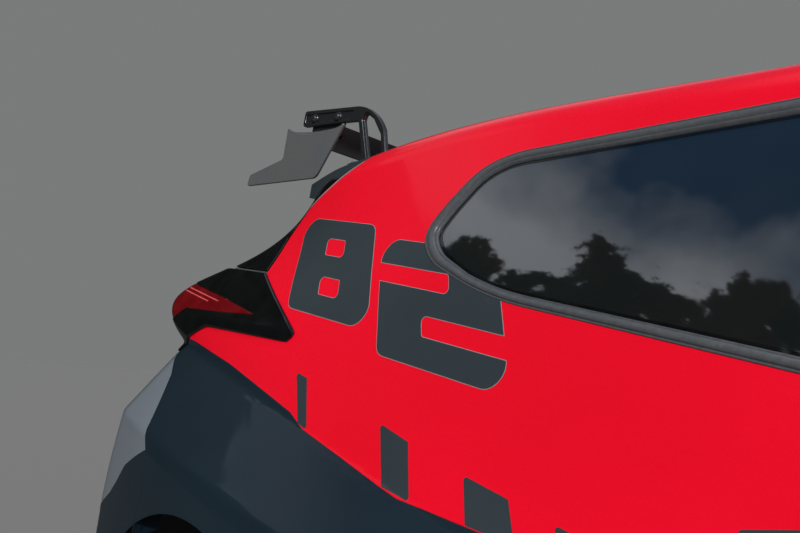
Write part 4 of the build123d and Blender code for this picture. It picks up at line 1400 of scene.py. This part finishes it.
def makeBolts():
    group = boltGroup(materials["steel"])
    y, level = bracket["far"] - 0.3, rideHeight / mm
    points = [(x, y, height - level) for x, height in bracket["bolts"]]
    obj = boltRow("wingBolts", points, (math.pi / 2, 0, 0), group)
    settlePair(obj, "wingBolts", None, bodyOf["wing_tab_right"], tidied)
    foot, bolts = bracket["foot"], bracket["footBolts"]
    points = []
    for y in (-foot["y"] - bolts["apart"], -foot["y"] + bolts["apart"]):
        surface = spoilerHeight(bolts["x"] * mm, y * mm) / mm
        points.append((bolts["x"], y, surface + foot["thickness"] - bolts["sink"]))
    obj = boltRow("footBolts", points, (0.0, bolts["lean"], 0.0), group, bolts["scale"])
    settlePair(obj, "footBolts", None, bodyOf["wing_bracket_right"], tidied)


soft = {"nodes": ("roof_spoiler", "lamp_bar", "sill_right", "sill_left"), "width": 0.003, "turn": 35,
        "merge": 1e-5, "flat": 0.6}


# A CAD piece redrawn with small rounded edges
def softened(node):
    source, slot = frame["nodes"][node], slotOf[node]
    bm = bmesh.new()
    bm.from_mesh(source.data)
    bm.transform(source.matrix_world)
    bmesh.ops.remove_doubles(bm, verts=bm.verts, dist=soft["merge"])
    bmesh.ops.dissolve_limit(bm, angle_limit=math.radians(soft["flat"]), verts=bm.verts, edges=bm.edges)
    mesh = bpy.data.meshes.new(node + "Soft")
    bm.to_mesh(mesh)
    bm.free()
    mesh.materials.clear()
    mesh.materials.append(materials[slot])
    obj = addObject(node + "Soft", mesh)
    modifier = obj.modifiers.new("edges", "BEVEL")
    modifier.width, modifier.segments = soft["width"], 2
    modifier.limit_method, modifier.angle_limit = "ANGLE", math.radians(soft["turn"])
    modifier.harden_normals = True
    settle(applied(obj, modifier), bodyOf[node], [node])


windowOpening = makeSidePanels()
report("side panels")
makeRoof()
makeWindow(windowOpening)
report("roof and windows")
makeTailgate()
makeFins()
report("tailgate")
makeLampCluster()
makeHatchSeal()
makeBumper()
report("lamps and bumper")
makeLivery(windowOpening)
report("livery")
makeWing()
makeBrackets()
makeBolts()
for softNode in soft["nodes"]:
    softened(softNode)
report("wing and spoiler")

# CAD nodes that nothing replaces keep their shape and get their slot's material
for node, shown in frame["nodes"].items():
    if not shown.hide_render:
        shown.data.materials.clear()
        shown.data.materials.append(materials[slotOf[node]])

# Position and nearest distance in metres, angles in degrees, lens and sensor in millimetres
view = {"position": (0.902, -1.534, 0.691), "azimuth": 46.2, "pitch": 3.5, "roll": 10.1, "lens": 36.0,
        "sensor": 36.0, "nearest": 0.01}


def makeCamera():
    azimuth, pitch, roll = [math.radians(view[k]) for k in ("azimuth", "pitch", "roll")]
    level = math.cos(pitch)
    ahead = Vector((-math.sin(azimuth) * level, math.cos(azimuth) * level, math.sin(pitch)))
    right = Vector((math.cos(azimuth), math.sin(azimuth), 0))
    up = right.cross(ahead)
    right, up = right * math.cos(roll) + up * math.sin(roll), up * math.cos(roll) - right * math.sin(roll)
    data = bpy.data.cameras.new("camera")
    data.lens, data.sensor_width, data.clip_start = view["lens"], view["sensor"], view["nearest"]
    camera = addObject("camera", data)
    matrix = Matrix((right, up, -ahead)).transposed().to_4x4()
    matrix.translation = Vector(view["position"])
    camera.matrix_world = matrix
    bpy.context.scene.camera = camera


lighting = {
    "ambient": (0.74, 0.78, 0.82),
    "strength": 0.72,
    "backdrop": (0.19, 0.20, 0.195),
    "floor": (0.24, 0.232, 0.22),
    "ground": (0.055, 0.05, 0.045),  # the floor, as the object is lit by it
    "floorZ": -0.345,
    "floorSize": 14.0,
    "sun": {"energy": 1.75, "width": 3.0, "place": (1.3, -2.4, 1.4)},
    "fill": {"energy": 10.0, "size": 1.2, "place": (3.0, -3.2, 1.6), "target": (0, -0.6, 0.4)},
}

# What shiny pieces reflect: trees below a sky with clouds. Heights are the sine of the angle over the horizon
scenery = {
    "trees": (0.010, 0.014, 0.010),
    "sky": (0.018, 0.060, 0.125),
    "clouds": (0.50, 0.53, 0.57),
    "cloudNoise": {"Scale": 2.2, "Detail": 5.0},
    "cloudEdge": (0.38, 0.58),
    "clearSky": (0.60, 0.84, 0.24),  # heights between which the clouds thin out, and by how much
    "zenith": (1.1, 1.1, 1.15),
    "zenithHeights": (0.86, 0.97),
    "treeLine": (0.38, 0.64),  # heights of the lowest and highest tree tops
    "treeEdge": (-0.004, 0.008),
    "treeShift": (0.0, 0.0, 1.7),
    "leafNoise": {"Scale": 3.2, "Detail": 12.0, "Roughness": 0.66},
    "nearHedge": (-0.80, -0.92, 0.03),  # where it starts and ends over x, and how much higher it is
}


def makeScenery(tree):
    place = addNode(tree, "ShaderNodeTexCoord").outputs["Generated"]
    split = addNode(tree, "ShaderNodeSeparateXYZ", {"Vector": place})
    x, height = split.outputs["X"], split.outputs["Z"]
    clouds = addNode(tree, "ShaderNodeTexNoise", {"Vector": place, **scenery["cloudNoise"]}).outputs["Fac"]
    start, end, amount = scenery["clearSky"]
    clouds = calculate(tree, "SUBTRACT", clouds, mapRange(tree, height, start, end, 0.0, amount))
    sky = shades(tree, clouds, scenery["sky"], scenery["clouds"], *scenery["cloudEdge"])
    overhead = mapRange(tree, height, *scenery["zenithHeights"])
    sky = mixed(tree, overhead, sky, (*scenery["zenith"], 1))
    shift = addNode(tree, "ShaderNodeMapping", {"Vector": place, "Location": scenery["treeShift"]})
    leaves = addNode(tree, "ShaderNodeTexNoise", {"Vector": shift.outputs["Vector"], **scenery["leafNoise"]})
    treeTops = mapRange(tree, leaves.outputs["Fac"], 0.35, 0.65, *scenery["treeLine"])
    start, end, rise = scenery["nearHedge"]
    treeTops = calculate(tree, "ADD", treeTops, mapRange(tree, x, start, end, 0.0, rise))
    above = calculate(tree, "SUBTRACT", height, treeTops)
    return mixed(tree, mapRange(tree, above, *scenery["treeEdge"]), (*scenery["trees"], 1), sky)


# Even light on the object, a plain backdrop for the camera and through glass, and scenery in reflections
def makeWorld():
    world = bpy.data.worlds.new("studio")
    bpy.context.scene.world = world
    world.use_nodes = True
    tree = world.node_tree
    even = tree.nodes["Background"]
    setSockets(even, {"Color": (*lighting["ambient"], 1), "Strength": lighting["strength"]})
    mirrored = addNode(tree, "ShaderNodeBackground", {"Color": makeScenery(tree)})
    plain = addNode(tree, "ShaderNodeBackground", {"Color": (*lighting["backdrop"], 1)})
    path = addNode(tree, "ShaderNodeLightPath").outputs
    direct = calculate(tree, "MAXIMUM", path["Is Camera Ray"], path["Is Transmission Ray"])
    lit = addNode(tree, "ShaderNodeMixShader", {
        "Fac": path["Is Glossy Ray"], 1: even.outputs["Background"], 2: mirrored.outputs["Background"]})
    seen = addNode(tree, "ShaderNodeMixShader", {
        "Fac": direct, 1: lit.outputs["Shader"], 2: plain.outputs["Background"]})
    setSockets(tree.nodes["World Output"], {"Surface": seen.outputs["Shader"]})


def makeLamps():
    sun, fill = lighting["sun"], lighting["fill"]
    data = bpy.data.lights.new("sunLamp", "SUN")
    data.energy, data.angle = sun["energy"], math.radians(sun["width"])
    lampObject = addObject("sunLamp", data)
    lampObject.location = sun["place"]
    lampObject.rotation_euler = Vector(sun["place"]).to_track_quat("Z", "Y").to_euler()
    data = bpy.data.lights.new("fillLamp", "AREA")
    data.energy, data.size = fill["energy"], fill["size"]
    lampObject = addObject("fillLamp", data)
    lampObject.location = fill["place"]
    ahead = Vector(fill["target"]) - Vector(fill["place"])
    lampObject.rotation_euler = ahead.to_track_quat("-Z", "Y").to_euler()
    lampObject.visible_glossy = False


def makeFloor():
    half, z = lighting["floorSize"] / 2, lighting["floorZ"]
    material, tree, shader = makeMaterial("floorPaint", lighting["floor"], 0.9)
    isSeen = addNode(tree, "ShaderNodeLightPath").outputs["Is Camera Ray"]
    setSockets(shader, {
        "Base Color": mixed(tree, isSeen, (*lighting["ground"], 1), (*lighting["floor"], 1))})
    corners = [(-half, -half, z), (half, -half, z), (half, half, z), (-half, half, z)]
    newObject("floor", corners, [(0, 1, 2, 3)], material, smooth=False)


makeCamera()
makeWorld()
makeLamps()
makeFloor()
bpy.context.scene.view_settings.view_transform = "Standard"
report("stage")
